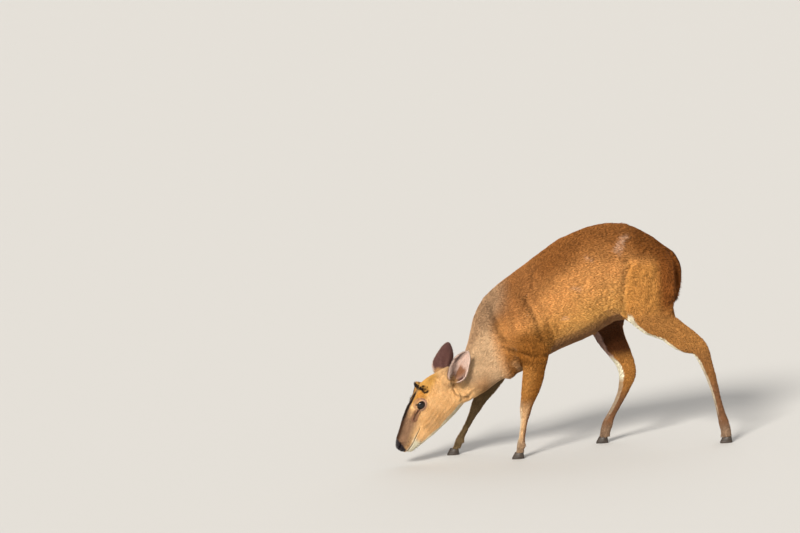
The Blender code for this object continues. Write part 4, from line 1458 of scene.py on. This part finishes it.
def grow(name: str, batch: TuftBatch, material: Material, upright: float) -> Object:
    """Make one object from many tufts, each a thin three-sided blade with a closed root.

    Args:
        name: The object's name.
        batch: Places and sizes of the tufts, in millimetres.
        material: Their finish.
        upright: 1 where the hair runs down a limb, and 0 on the body.

    Returns:
        The finished object.
    """
    count = len(batch.roots)
    side = np.cross(batch.normals, batch.ways)
    half = (batch.width / 2)[:, None] * side
    thick = (batch.width * 0.3)[:, None] * batch.normals
    sunk = batch.roots - batch.normals * 0.5
    middle = batch.roots + batch.ways * (batch.length * 0.5)[:, None]
    middle = middle + batch.normals * (batch.rise * 0.72)[:, None]
    tip = batch.roots + batch.ways * batch.length[:, None] + batch.normals * batch.rise[:, None]
    tip = tip - batch.normals * (batch.rise * 0.15)[:, None]
    points = np.stack([
        sunk - half, sunk + half, sunk + thick,
        middle - half * 0.8, middle + half * 0.8, middle + thick * 0.8, tip,
    ], axis=1).reshape(-1, 3) * MM
    faces = (BLADE[None] + 7 * np.arange(count)[:, None, None]).reshape(-1, 3)
    mesh = bpy.data.meshes.new(name)
    mesh.vertices.add(len(points))
    mesh.vertices.foreach_set("co", points.astype(np.float32).ravel())
    mesh.loops.add(len(faces) * 3)
    mesh.loops.foreach_set("vertex_index", faces.astype(np.int32).ravel())
    mesh.polygons.add(len(faces))
    mesh.polygons.foreach_set("loop_start", np.arange(0, len(faces) * 3, 3, dtype=np.int32))
    mesh.update(calc_edges=True)
    spots = batch.unwrap[:, None, :] + PATCH_SPOTS[None] * PATCH
    layer = mesh.uv_layers.new(name="OFBake")
    layer.data.foreach_set("uv", spots.reshape(-1, 2)[faces.ravel()].astype(np.float32).ravel())
    tones = (batch.colours[:, None, :] * SHADES[None, :, None]).reshape(-1, 3)
    set_colours(mesh, tones, np.full(len(points), upright))
    mesh.materials.append(material)
    mesh.shade_smooth()
    item = add_object(name, mesh)
    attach(item, "root")
    return item


def unwrapped(spots: Array) -> Array:
    """Fit flat places into the unit square, with room for each tuft's patch.

    Args:
        spots: Places in two dimensions.

    Returns:
        The places in the square.
    """
    low, high = spots.min(axis=0), spots.max(axis=0)
    span = np.maximum(high - low, 1e-6)
    return MARGIN + (spots - low) / span * (1 - 2 * MARGIN - PATCH)


@dataclass
class Coat:
    """The short coat over the whole skin, grown region by region.

    Attributes:
        most: The most tufts in one piece.
        seed: The seed of all chance in the coat.
        lengths: Least and greatest share of the lie's hair length.
        widths: Least and greatest share of the cut's width.
        rises: Least and greatest share of the cut's lift.
        grizzle: How much the tufts differ in brightness on the head and elsewhere.
        cuts: The kind of tuft of each region.
        finish: The tufts' finish.
    """

    skin: Skin
    markings: Markings
    most: int = 19500
    seed: int = 11
    lengths: tuple[float, float] = (0.75, 1.2)
    widths: tuple[float, float] = (0.75, 1.25)
    rises: tuple[float, float] = (0.6, 1.1)
    grizzle: tuple[float, float] = (0.06, 0.09)
    cuts: dict[Region, TuftCut] = field(default_factory=lambda: {
        Region.HEAD: TuftCut(0.2, 0.85, 21000, 8.0),
        Region.NECK: TuftCut(0.16, 0.9, 15500),
        Region.TRUNK: TuftCut(0.15, 0.95, 56000),
        Region.FORE_LEFT: TuftCut(0.19, 0.85, 6500),
        Region.FORE_RIGHT: TuftCut(0.19, 0.85, 6500),
        Region.HIND_LEFT: TuftCut(0.18, 0.85, 10500),
        Region.HIND_RIGHT: TuftCut(0.18, 0.85, 10500),
        Region.TAIL: TuftCut(0.12, 0.95, 4500, 7.0),
    })
    finish: CoatFinish = field(
        default_factory=lambda: CoatFinish("short_hair", bump=0.0, contrast=0.22),
    )

    def build(self) -> list[Object]:
        """Grow every region.

        Returns:
            The pieces.
        """
        corners, area = triangles_of(self.skin.item.data)
        lie = self.skin.lie
        first = corners[:, 0]
        weight = area * (1 - self.bareness(self.skin.places[corners].mean(axis=1)))
        crowding = np.clip(lie.length[first], 4, 14) ** 1.2
        material = self.finish.build()
        pieces = []
        draw = np.random.default_rng(self.seed)
        for region, cut in self.cuts.items():
            share = weight * (lie.region[first] == region)
            if region is not Region.HEAD:
                share = share / crowding
            chosen = draw.choice(len(corners), cut.count, p=share / share.sum())
            batch = self.batch(draw, corners[chosen], cut)
            pieces += self.pieces(region, batch, material)
        return pieces

    @staticmethod
    def bareness(places: Array) -> Array:
        """Return 1 where no hair grows: the nose, eyes, lips' edge, glands and soles.

        Args:
            places: Points in millimetres.

        Returns:
            One value for each point.
        """
        u, v, w = HEAD.inside(places).T
        out = np.abs(w)
        bare = (u + 0.3 * (v + 8) > 198) & (v > -23)
        bare |= (eye_gap(u, v, 1.28) < 9.8) & (out > 18) & (np.abs(u - 93) < 16)
        bare |= (np.abs(v - np.interp(u, MOUTH_U, MOUTH_V)) < 1.5) & (u > 138) & (out < 42)
        bare |= (line_gap(GLAND_LINE, u, v) < 3.2) & (out > 12) & (u < 142)
        bare |= places[:, 2] < 15.4
        return bare.astype(float)

    def batch(self, draw: np.random.Generator, corners: Array, cut: TuftCut) -> TuftBatch:
        """Place tufts on the chosen triangles of the skin.

        Args:
            draw: The seeded source of chance.
            corners: The three skin points round each root.
            cut: The kind of tuft.

        Returns:
            The tufts' places and looks.
        """
        count = len(corners)
        mix = draw.dirichlet((1, 1, 1), count)[:, :, None]
        roots = (self.skin.places[corners] * mix).sum(axis=1)
        normals = unit((self.skin.normals[corners] * mix).sum(axis=1))
        lie = lie_at(roots, normals)
        turn = np.radians(draw.normal(0, cut.jitter, count) + 4 * ripple(roots, 24, 3.0))
        side = np.cross(normals, lie.direction)
        ways = lie.direction * np.cos(turn)[:, None] + side * np.sin(turn)[:, None]
        length = lie.length * draw.uniform(*self.lengths, count)
        width = lie.length * cut.width * draw.uniform(*self.widths, count)
        wave = 1 + 0.22 * ripple(roots, 9, 5.0)
        depth = self.skin.depth_share * lie.length
        rise = depth * cut.lift * draw.uniform(*self.rises, count) * wave
        middles = roots + ways * (0.5 * length)[:, None]
        tone = self.markings.colour(middles, normals, lie)
        grizzle = np.where(lie.on(Region.HEAD), *self.grizzle)
        shade = draw.normal(1.0, grizzle, count) * (1 + 0.06 * ripple(roots, 5, 4.0))
        tone = tone * np.clip(shade, 0.45, 1.6)[:, None]
        unwrap = np.column_stack([lie.along, lie.around])
        return TuftBatch(roots, normals, ways, length, width, rise, tone, unwrap)

    def pieces(self, region: Region, batch: TuftBatch, material: Material) -> list:
        """Split a region's tufts along the body into pieces of a fair size.

        Args:
            region: The region.
            batch: Its tufts.
            material: Their finish.

        Returns:
            The pieces.
        """
        order = np.argsort(batch.unwrap[:, 0], kind="stable")
        parts = math.ceil(len(order) / self.most)
        made = []
        for part, rows in enumerate(np.array_split(order, parts)):
            chunk = TuftBatch(**{key: values[rows] for key, values in vars(batch).items()})
            chunk.unwrap = unwrapped(chunk.unwrap)
            name = f"coat_{region.name.lower()}_{part + 1}"
            made.append(grow(name, chunk, material, float(region > Region.TRUNK)))
        return made


@dataclass(frozen=True)
class EyeFinish:
    """A wet dark eye: a dark brown iris round a wide pupil."""

    iris: Rgb = (0.007, 0.0035, 0.0025)
    pupil: Rgb = (0.003, 0.003, 0.004)
    rim: Rgb = (0.004, 0.003, 0.003)

    def build(self) -> Material:
        """Make the material, which reads how far each point is from the eye's axis.

        Returns:
            The finish.
        """
        material, tree = new_material("wet_eye", Roughness=0.07, Specular_IOR_Level=0.5)
        place = add_node(tree, "TexCoord").outputs["Object"]
        noise = add_node(tree, "TexNoise", Vector=place, Scale=900.0).outputs["Fac"]
        reach = math_node(tree, "MULTIPLY_ADD", noise, 0.05, read_attribute(tree, "iris_reach"))
        stops = ((0.3, self.pupil), (0.38, self.iris), (0.7, self.iris), (0.8, self.rim))
        wire(tree, Base_Color=colour_ramp(tree, reach, stops))
        return material


SIDES = ((1, "left"), (-1, "right"))


@dataclass
class Eyes:
    """Both eyeballs and the dark wet rims of their lids.

    Attributes:
        radius: Radius of each eyeball.
        clearance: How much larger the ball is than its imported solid.
        cornea: Where the clear front begins to bulge, as a share of the radius, and how much.
        facets: The ball's facets round its axis and from pole to pole.
        outward: The way it looks in the head's axes.
        rim_sections: Sections of the lid's rim.
        rim_corners: Corners of each section.
        rim_size: Half width and half height of a section.
    """

    radius: float = 11.0
    clearance: float = 0.12
    cornea: tuple[float, float] = (0.72, 0.28)
    facets: tuple[int, int] = (48, 32)
    outward: tuple[float, float, float] = (0.22, 0.16, 1.0)
    rim_sections: int = 40
    rim_corners: int = 8
    rim_size: tuple[float, float] = (0.75, 0.55)

    def place(self, side: int) -> Matrix:
        """Return the place of an eye, its z axis looking out and its x axis to the inner corner.

        Args:
            side: 1 for the left side and -1 for the right.

        Returns:
            The matrix, in millimetres.
        """
        ahead, above, aside = self.outward
        out = HEAD.way(ahead, above, side * aside).normalized()
        corner = HEAD.way(1, -0.28, 0)
        corner = (corner - out * corner.dot(out)).normalized()
        middle = Vector(HEAD.eye)
        if side < 0:
            middle.z = -middle.z
            middle += Vector(RIGHT_EYE_SHIFT)
        turn = Matrix((corner, out.cross(corner), out)).transposed().to_4x4()
        return Matrix.Translation(HEAD.point(*middle)) @ turn

    def build(self) -> list[Object]:
        """Make the eyeballs and lid rims.

        Returns:
            The pieces.
        """
        made = []
        gloss = EyeFinish().build()
        rim = CoatFinish("lid_rim", roughness=0.25, bump=0.1, specular=0.6).build()
        for side, word in SIDES:
            place = self.place(side)
            shape = bmesh.new()
            bmesh.ops.create_uvsphere(
                shape, u_segments=self.facets[0], v_segments=self.facets[1],
                radius=self.radius + self.clearance,
            )
            start, bulge = self.cornea
            for vert in shape.verts:
                vert.co *= 1 + bulge * max(vert.co.z / self.radius - start, 0.0)
            bmesh.ops.transform(shape, matrix=Matrix.Scale(MM, 4) @ place, verts=shape.verts)
            ball = object_from(f"eyeball_{word}", shape)
            spots = moved(points_of(ball.data), place.inverted())
            reach = np.hypot(spots[:, 0] * 0.85, spots[:, 1]) / self.radius
            set_attribute(ball.data, "iris_reach", reach)
            ball.data.materials.append(gloss)
            ball.data.shade_smooth()
            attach(ball, "root")
            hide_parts(f"eye_{word}")
            made += [ball, self.lid_rim(f"lid_rim_{word}", place, rim)]
        return made

    def lid_rim(self, name: str, place: Matrix, material: Material) -> Object:
        """Return the wet edge of the lids, a thin ring that lies on the eyeball.

        Args:
            name: The piece's name.
            place: The eye's place.
            material: Its finish.

        Returns:
            The ring.
        """
        rings = []
        for angle in (2 * math.pi * step / self.rim_sections for step in range(self.rim_sections)):
            long = (EYE_OPENING[0] - 0.1) * math.cos(angle)
            high = (EYE_OPENING[1] - 0.3) * math.sin(angle) * (1 - 0.28 * abs(math.cos(angle)) ** 3)
            deep = math.sqrt(max((self.radius + 0.25) ** 2 - long ** 2 - high ** 2, 1.0))
            centre = Vector((long, high, deep))
            out = centre.normalized()
            wide = Vector((math.cos(angle), math.sin(angle), 0))
            wide = (wide - out * wide.dot(out)).normalized() * self.rim_size[0]
            ring = []
            for turn in range(self.rim_corners):
                around = 2 * math.pi * turn / self.rim_corners
                rise = out * (self.rim_size[1] * math.sin(around))
                ring.append(centre + wide * math.cos(around) + rise)
            rings.append(ring)
        item = ring_loft(name, rings, place)
        colours = np.tile(np.array((0.02, 0.012, 0.01)), (len(item.data.vertices), 1))
        set_colours(item.data, colours, np.zeros(len(colours)))
        item.data.materials.append(material)
        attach(item, "root")
        return item


def ring_loft(name: str, rings: list[list[Vector]], place: Matrix) -> Object:
    """Bridge rings of equally many points into a closed ring-shaped tube.

    Args:
        name: The object's name.
        rings: The tube's sections, in order all the way round, in millimetres.
        place: The matrix that puts them in the model.

    Returns:
        The tube, shaded smooth.
    """
    shape = bmesh.new()
    loops = []
    for ring in rings:
        made = bmesh.ops.create_circle(shape, segments=len(ring))
        for vert, point in zip(made["verts"], ring):
            vert.co = point
        loops.append({edge for vert in made["verts"] for edge in vert.link_edges})
    for first, second in zip(loops, loops[1:] + loops[:1]):
        bmesh.ops.bridge_loops(shape, edges=list(first | second))
    bmesh.ops.recalc_face_normals(shape, faces=shape.faces)
    bmesh.ops.transform(shape, matrix=Matrix.Scale(MM, 4) @ place, verts=shape.verts)
    item = object_from(name, shape)
    item.data.shade_smooth()
    return item


@dataclass(frozen=True)
class HairKind:
    """One kind of hair on the ears or the face.

    Attributes:
        count: How many tufts each side gets.
        length: Shortest and longest tuft.
        width: Width at the root.
        rise: How far the tip stands up or bends up, as a share of the length.
        colour: Its colour, where it isn't the skin's own.
    """

    name: str
    count: int
    length: tuple[float, float]
    width: float
    rise: float
    colour: Rgb = (0.018, 0.011, 0.008)


@dataclass
class Ears:
    """Both ears: thin cups with dark backs and pale hair inside.

    Attributes:
        back: Colour of the outside.
        sheen: Colour of the outside where the light catches the hair.
        inner: Colour of the pale hair inside.
        band: Colour of the grey band along the upper edge inside.
        hollow: Colour of the hair low in the cup.
        rim: Colour of the thin edge.
        crown: Colour at the foot of the back.
    """

    back: Rgb = (0.13, 0.06, 0.052)
    sheen: Rgb = (0.24, 0.12, 0.1)
    inner: Rgb = (0.9, 0.68, 0.58)
    band: Rgb = (0.25, 0.15, 0.13)
    hollow: Rgb = (0.4, 0.16, 0.06)
    rim: Rgb = (0.78, 0.62, 0.52)
    crown: Rgb = (0.5, 0.28, 0.12)
    roots: tuple[tuple[float, float, float], ...] = ((11.0, -5.0, 37.0), (10.5, -12.5, -33.5))
    tips: tuple[tuple[float, float, float], ...] = ((-0.93, 0.16, 0.46), (-0.79, 0.18, -0.585))
    facings: tuple[tuple[float, float, float], ...] = ((0.3, -0.1, 1.0), (0.5, 0.05, -0.8))
    length: float = 95.0
    width: float = 48.5
    stub: float = 13.0
    kinds: tuple[HairKind, ...] = (
        HairKind("inner", 2600, (6.0, 12.0), 0.5, 0.2),
        HairKind("outer", 5200, (3.0, 5.0), 0.7, 0.07),
        HairKind("rim", 1500, (2.4, 4.2), 0.4, 0.3),
    )

    def directions(self, side: int) -> tuple[Vector, Vector, Vector]:
        """Return an ear's direction to its tip, the way its cup faces and the way across it.

        Args:
            side: 1 for the left side and -1 for the right.

        Returns:
            The three directions.
        """
        number = 0 if side > 0 else 1
        tip = HEAD.way(*self.tips[number]).normalized()
        facing = HEAD.way(*self.facings[number])
        facing = (facing - tip * facing.dot(tip)).normalized()
        return tip, facing, facing.cross(tip)

    def local(self, places: Array, side: int) -> tuple[Array, Array, Array]:
        """Measure points by an ear.

        Args:
            places: Points in millimetres.
            side: 1 for the left ear and -1 for the right.

        Returns:
            How far each point is up the ear, across it towards its upper edge, and from its rim.
        """
        tip, facing, across = (np.array(way) for way in self.directions(side))
        start = np.array(HEAD.point(*self.roots[0 if side > 0 else 1])) + tip * self.stub
        rise = (places - start) @ tip / (self.length - self.stub)
        aside = (places - start) @ across
        share = np.linspace(0, 1, 24)
        swell = np.where(
            share < 0.42, 0.52 + 0.48 * np.sin(math.pi / 2 * share / 0.42),
            np.maximum(1 - (np.maximum(share - 0.42, 0) / 0.6) ** 1.9, 0.06) ** 0.72,
        )
        half = self.width / 2 * swell
        spread = np.radians(150 - 95 * np.minimum(share * 1.6, 1) - 8 * share)
        radius = half / np.sin(np.minimum(spread, math.pi / 2))
        deep = radius * 0.62 - radius * np.cos(spread) - 6 * share ** 2
        edge = np.full(len(places), np.inf)
        for way in (-1, 1):
            line = start + np.outer((self.length - self.stub) * share, tip) + np.outer(deep, facing)
            line = line + way * np.outer(radius * np.sin(spread), across)
            gap, _ = polyline_distance(places, line)
            edge = np.minimum(edge, gap)
        return rise, aside * side, edge

    def colour(self, places: Array, inside: Array, side: int) -> Array:
        """Return an ear's colours.

        Args:
            places: Points on the ear, in millimetres.
            inside: How much each point faces into the cup.
            side: 1 for the left ear and -1 for the right.

        Returns:
            Linear red, green and blue, one row for each point.
        """
        rise, aside, edge = self.local(places, side)
        on = Paint(places, self.back)
        light = bell(aside + 2, 5.0) * ease(0.1, 0.3, rise) * ease(0.75, 0.45, rise)
        on.lay(self.sheen, light * (0.6 + 0.4 * on.waves(8, 2.0)))
        on.lay(self.crown, ease(0.14, 0.02, rise + 0.02 * on.waves(6, 4.0)))
        cup = inside * ease(0.04, 0.12, rise)
        on.lay(self.inner, cup)
        ragged = aside + 2 * on.waves(9, 5.0)
        band = ease(4.0, 9.0, ragged - 2 * rise) * ease(0.4, 0.58, rise) * ease(1.0, 0.9, rise)
        on.lay(self.band, cup * band * ease(1.5, 4.0, edge) * 0.85)
        low = ease(-4.0, -9.0, ragged) * ease(0.0, 0.08, rise) * ease(0.47, 0.36, rise)
        on.lay(self.hollow, cup * low * ease(3.0, 6.0, edge) * 0.9)
        on.lay(self.hollow, cup * bell(np.hypot(aside + 1, 60 * (rise - 0.06)), 4.0) * 0.8)
        on.lay(self.rim, ease(2.6, 1.0, edge) * ease(0.03, 0.12, rise) * (0.1 + 0.8 * inside))
        return on.tone

    def build(self) -> list[Object]:
        """Make both ears and their hair.

        Returns:
            The pieces.
        """
        made = []
        finish = CoatFinish("ear_skin", roughness=0.55, sheen=0.05, bump=0.2, contrast=0.2).build()
        hair = CoatFinish("ear_hair", roughness=0.6, bump=0.0, contrast=0.15).build()
        for side, word in SIDES:
            ear = object_from(f"ear_shell_{word}", welded((f"ear_{word}",)))
            apply_modifier(ear, "SUBSURF", levels=2, render_levels=2)
            facing = np.array(self.directions(side)[1])
            inside = ease(0.0, 0.5, normals_of(ear.data) @ facing)
            tone = self.colour(points_of(ear.data), inside, side)
            set_colours(ear.data, tone * 0.9, np.zeros(len(tone)))
            ear.data.materials.append(finish)
            ear.data.shade_smooth()
            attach(ear, "root")
            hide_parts(f"ear_{word}")
            made.append(ear)
            for kind in self.kinds:
                name = f"ear_hair_{kind.name}_{word}"
                made.append(grow(name, self.hairs(kind, ear.data, side, inside), hair, 0.0))
        return made

    def hairs(self, kind: HairKind, mesh: Mesh, side: int, inside: Array) -> TuftBatch:
        """Place one kind of hair on an ear.

        Args:
            kind: The hair inside, on the back or along the rim.
            mesh: The ear's shell.
            side: 1 for the left ear and -1 for the right.
            inside: How much each point of the shell faces into the cup.

        Returns:
            The places and looks of the hair.
        """
        places, normals = surface_of(mesh)
        _, _, edge = self.local(places, side)
        share = {
            "inner": inside * ease(1.0, 4.0, edge) + 1e-4,
            "outer": 1.02 - inside,
            "rim": bell(edge, 1.3) + 1e-5,
        }[kind.name]
        draw = np.random.default_rng(31 + side)
        corners, area = triangles_of(mesh)
        weight = area * share[corners].mean(axis=1)
        chosen = corners[draw.choice(len(corners), kind.count, p=weight / weight.sum())]
        mix = draw.dirichlet((1, 1, 1), kind.count)[:, :, None]
        roots = (places[chosen] * mix).sum(axis=1)
        facings = unit((normals[chosen] * mix).sum(axis=1))
        rise, aside, _ = self.local(roots, side)
        tip, _, across = (np.array(way) for way in self.directions(side))
        ways = np.tile(tip, (kind.count, 1))
        if kind.name == "inner":
            ways = ways - across * (0.75 * side * np.tanh(aside / 9))[:, None]
        if kind.name == "rim":
            ways = ways + across * (1.1 * side * np.sign(aside))[:, None]
        ways = laid_flat(ways + draw.normal(0, 0.14, (kind.count, 3)), facings)
        long = draw.uniform(*kind.length, kind.count) * np.clip(1.15 - 0.5 * rise, 0.5, 1.2)
        base = self.colour(roots, (inside[chosen] * mix[:, :, 0]).sum(axis=1), side)
        base = base * draw.uniform(0.75, 1.25, kind.count)[:, None]
        wide = np.full(kind.count, kind.width)
        spots = unwrapped(np.column_stack([rise, aside]))
        return TuftBatch(roots, facings, ways, long, wide, long * kind.rise, base, spots)


LASHES = HairKind("lashes", 60, (4.5, 6.5), 0.3, 0.2)
WHISKERS = HairKind("whiskers", 90, (5.0, 14.0), 0.22, 0.15, (0.05, 0.035, 0.03))
KNOB_TUFT = HairKind("knob_tuft", 240, (5.0, 8.0), 0.9, 0.05)


@dataclass
class Accents:
    """The lashes, whiskers and black tufts on the brow knobs, grown from the skin."""

    skin: Skin
    draw: np.random.Generator = field(default_factory=lambda: np.random.default_rng(53))

    def build(self) -> list[Object]:
        """Make the lashes, whiskers and knob tufts.

        Returns:
            The pieces.
        """
        finish = CoatFinish("bristle", roughness=0.45, bump=0.0, contrast=0.1).build()
        made = []
        for side, word in SIDES:
            for kind, placed in (
                (LASHES, self.lashes), (WHISKERS, self.whiskers), (KNOB_TUFT, self.knob_tuft),
            ):
                batch = self.bristles(kind, *placed(side, kind.count))
                made.append(grow(f"{kind.name}_{word}", batch, finish, 0.0))
        return made

    def lashes(self, side: int, count: int) -> tuple[Array, Array]:
        """Return the roots and directions of the lashes of the upper lid.

        Args:
            side: 1 for the left side and -1 for the right.
            count: How many.

        Returns:
            The roots in millimetres, and the directions.
        """
        angles = np.radians(self.draw.uniform(25, 165, count))
        place = Eyes().place(side)
        long, high = EYE_OPENING
        across, up = np.cos(angles), np.sin(angles)
        rim = np.column_stack([(long + 0.4) * across, (high + 0.2) * up, np.full(count, 6.5)])
        out = np.column_stack([0.45 * across, 0.75 * up, np.ones(count)])
        return moved(rim, place), unit(out) @ np.array(place)[:3, :3].T

    def whiskers(self, side: int, count: int) -> tuple[Array, Array]:
        """Return the roots and directions of the whiskers of the lips and chin.

        Args:
            side: 1 for the left side and -1 for the right.
            count: How many.

        Returns:
            The roots in millimetres, and the directions.
        """
        spread = self.draw.uniform(0, 1, (count, 2))
        u = 160 + 36 * spread[:, 0]
        chin = spread[:, 1] < 0.35
        v = np.where(chin, -38 + 8 * spread[:, 1], -21 + 16 * spread[:, 1])
        w = side * np.where(chin, 10.0, 19.0)
        roots, facings = self.on_skin(np.column_stack([u, v, w]))
        lean = np.array(HEAD.way(-0.35, -0.45, 0))
        return roots, unit(facings * 0.8 + lean + self.draw.normal(0, 0.12, (count, 3)))

    def knob_tuft(self, side: int, count: int) -> tuple[Array, Array]:
        """Return the roots and directions of the black hair on a brow knob.

        Args:
            side: 1 for the left side and -1 for the right.
            count: How many.

        Returns:
            The roots in millimetres, and the directions.
        """
        knob = np.array((61.0, 42.0, 24.0)) + self.draw.normal(0, 1, (count, 3)) * (2.6, 2.5, 3.0)
        roots, facings = self.on_skin(knob * (1, 1, side))
        lean = np.array(HEAD.way(-0.5, -0.85, 0.45 * side))
        return roots, unit(facings * 0.25 + lean + self.draw.normal(0, 0.1, (count, 3)))

    def on_skin(self, spots: Array) -> tuple[Array, Array]:
        """Return the skin's nearest points to places in the head's axes, and their directions.

        Args:
            spots: The places.

        Returns:
            The points in millimetres, and the directions.
        """
        close = self.skin.lie.on(Region.HEAD, Region.NECK)
        places, normals = self.skin.places[close], self.skin.normals[close]
        aims = moved(spots, HEAD.place)
        rows = [int(np.argmin(((places - aim) ** 2).sum(axis=1))) for aim in aims]
        return places[rows], normals[rows]

    def bristles(self, kind: HairKind, roots: Array, ways: Array) -> TuftBatch:
        """Give hairs that stand off the skin their sizes and colours.

        Args:
            kind: The kind of hair.
            roots: Where they grow, in millimetres.
            ways: The way each one points.

        Returns:
            The places and looks of the hairs.
        """
        up = laid_flat(np.tile(np.array(HEAD.way(0, 1, 0)), (kind.count, 1)), ways)
        long = self.draw.uniform(*kind.length, kind.count)
        tone = np.array(kind.colour) * self.draw.uniform(0.7, 1.4, kind.count)[:, None]
        spots = unwrapped(HEAD.inside(roots)[:, :2])
        wide = np.full(kind.count, kind.width)
        return TuftBatch(roots, up, ways, long, wide, long * kind.rise, tone, spots)


@dataclass(frozen=True)
class HornFinish:
    """Dull dark horn with fine growth lines."""

    light: Rgb = (0.075, 0.055, 0.042)
    dark: Rgb = (0.018, 0.014, 0.012)

    def build(self) -> Material:
        """Make the material.

        Returns:
            The finish.
        """
        material, tree = new_material("hoof_horn", Specular_IOR_Level=0.4)
        place = add_node(tree, "TexCoord").outputs["Object"]
        turned = add_node(tree, "Mapping", Vector=place, Scale=(30.0, 30.0, 900.0))
        noise = add_node(tree, "TexNoise", Vector=turned.outputs["Vector"], Scale=1.0, Detail=4.0)
        lines = noise.outputs["Fac"]
        bump = add_node(tree, "Bump", Strength=0.4, Distance=0.0004, Height=lines)
        wire(
            tree, Base_Color=colour_ramp(tree, lines, ((0.3, self.dark), (0.75, self.light))),
            Roughness=math_node(tree, "MULTIPLY_ADD", lines, 0.3, 0.3),
            Normal=bump.outputs["Normal"],
        )
        return material


@dataclass
class Hooves:
    """The eight toes, rounded from their plain solids.

    Attributes:
        flat: Least angle between faces that stay apart, in radians.
        sharp: Least angle of an edge that is rounded, in radians.
        bevel: How wide the rounded edges are, in metres.
        crease: Least angle of an edge that is shaded sharp, in degrees.
    """

    flat: float = 0.02
    sharp: float = 0.7
    bevel: float = 0.0008
    crease: float = 50.0

    def build(self) -> list[Object]:
        """Make the toes.

        Returns:
            The pieces.
        """
        horn = HornFinish().build()
        made = []
        for limb in ("fore_left", "fore_right", "hind_left", "hind_right"):
            for toe in ("inner", "outer"):
                node = f"hoof_{limb}_{toe}"
                shape = welded((node,))
                bmesh.ops.dissolve_limit(
                    shape, angle_limit=self.flat, verts=shape.verts, edges=shape.edges,
                )
                sharp = [edge for edge in shape.edges if edge.calc_face_angle(0) > self.sharp]
                bmesh.ops.bevel(
                    shape, geom=sharp, offset=self.bevel, offset_type="OFFSET", segments=2,
                    profile=0.5, affect="EDGES", material=-1,
                )
                item = object_from(f"toe_{limb}_{toe}", shape)
                item.data.materials.append(horn)
                item.data.shade_smooth()
                item.data.set_sharp_from_angle(angle=math.radians(self.crease))
                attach(item, "root")
                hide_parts(node)
                made.append(item)
        return made


@dataclass(frozen=True)
class Lamp:
    """A wide distant light that shines on the middle of the model.

    Attributes:
        place: The way it comes from.
        spread: How wide it is, in degrees, which softens the shadows.
    """

    name: str
    place: tuple[float, float, float]
    power: float
    spread: float
    colour: Rgb

    def build(self) -> None:
        """Add the light."""
        light = bpy.data.lights.new(self.name, "SUN")
        light.energy = self.power
        light.angle = math.radians(self.spread)
        light.color = self.colour
        lamp = add_object(self.name, light)
        lamp.location = self.place
        lamp.rotation_euler = (-Vector(self.place)).to_track_quat("-Z", "Y").to_euler()


@dataclass(frozen=True)
class Studio:
    """The pale floor, soft light and camera.

    Attributes:
        distance: How far the camera stands, in metres.
        elevation: How high it looks down from, in degrees.
        roll: How far the view leans, in degrees.
        right: How far the view's middle lies to the right, in metres.
        up: How far the view's middle lies up, in metres.
        width: The width of the view, in metres.
        skull: Where the back of the skull stands when the view is set by these numbers.
        sensor: Width of the camera's sensor, in millimetres.
        sky: Colour of the light from all round.
        sky_power: Strength of the light from all round.
        ground: Colour of the floor.
    """

    distance: float = 16.0
    elevation: float = 8.0
    roll: float = 4.5
    right: float = -0.384
    up: float = 0.4422
    width: float = 1.92
    skull: tuple[float, float, float] = (-262.0, -8.0, 209.0)
    sensor: float = 36.0
    sky: Rgb = (1.0, 0.965, 0.92)
    sky_power: float = 0.5
    ground: Rgb = (0.56, 0.553, 0.538)
    lamps: tuple[Lamp, ...] = (
        Lamp("key_light", (-1.0, -2.2, 1.5), 4.3, 16.0, (1.0, 0.95, 0.87)),
        Lamp("back_light", (0.8, 2.4, 2.4), 0.7, 60.0, (0.95, 0.97, 1.0)),
    )

    def build(self) -> None:
        """Make the floor, the lamps, the world and the camera."""
        self.floor()
        for lamp in self.lamps:
            lamp.build()
        world = bpy.data.worlds.new("studio")
        world.use_nodes = True
        background = world.node_tree.nodes["Background"].inputs
        background["Color"].default_value = (*self.sky, 1)
        background["Strength"].default_value = self.sky_power
        bpy.context.scene.world = world
        bpy.context.scene.view_settings.view_transform = "Standard"
        self.camera()

    def floor(self) -> None:
        """Make a wide pale floor."""
        shape = bmesh.new()
        bmesh.ops.create_grid(shape, x_segments=1, y_segments=1, size=14)
        floor = object_from("studio_floor", shape)
        material, _ = new_material("pale_floor", Base_Color=(*self.ground, 1), Roughness=0.9)
        floor.data.materials.append(material)

    def camera(self) -> None:
        """Set the camera square to the animal's left side, leaning as the photo does."""
        tilt, roll = math.radians(self.elevation), math.radians(self.roll)
        level = Vector((1, 0, 0))
        rise = Vector((0, math.sin(tilt), math.cos(tilt)))
        right = math.cos(roll) * level - math.sin(roll) * rise
        up = math.sin(roll) * level + math.cos(roll) * rise
        back = right.cross(up)
        shift = HEAD.place.translation - Vector(self.skull)
        aim = right * self.right + up * self.up + shift * MM
        lens = bpy.data.cameras.new("camera")
        lens.sensor_width = self.sensor
        lens.lens = self.sensor * self.distance / self.width
        lens.clip_end = 100.0
        view = add_object("camera", lens)
        turn = Matrix((right, up, back)).transposed().to_4x4()
        view.matrix_world = Matrix.Translation(aim + back * self.distance) @ turn
        bpy.context.scene.camera = view


def main() -> None:
    """Build every piece in order and log the skin's triangles and each piece's faces."""
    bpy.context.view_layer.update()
    markings = Markings()
    skin = Skin()
    skin.build(markings)
    LOG.info("skin: %d triangles", len(skin.item.data.polygons))
    pieces = Coat(skin, markings).build()
    pieces += Ears().build()
    pieces += Eyes().build()
    pieces += Accents(skin).build()
    pieces += Hooves().build()
    for piece in pieces:
        LOG.info("%s: %d faces", piece.name, len(piece.data.polygons))
    Studio().build()


if __name__ == "__main__":
    logging.basicConfig(level=logging.INFO, format="%(message)s")
    main()
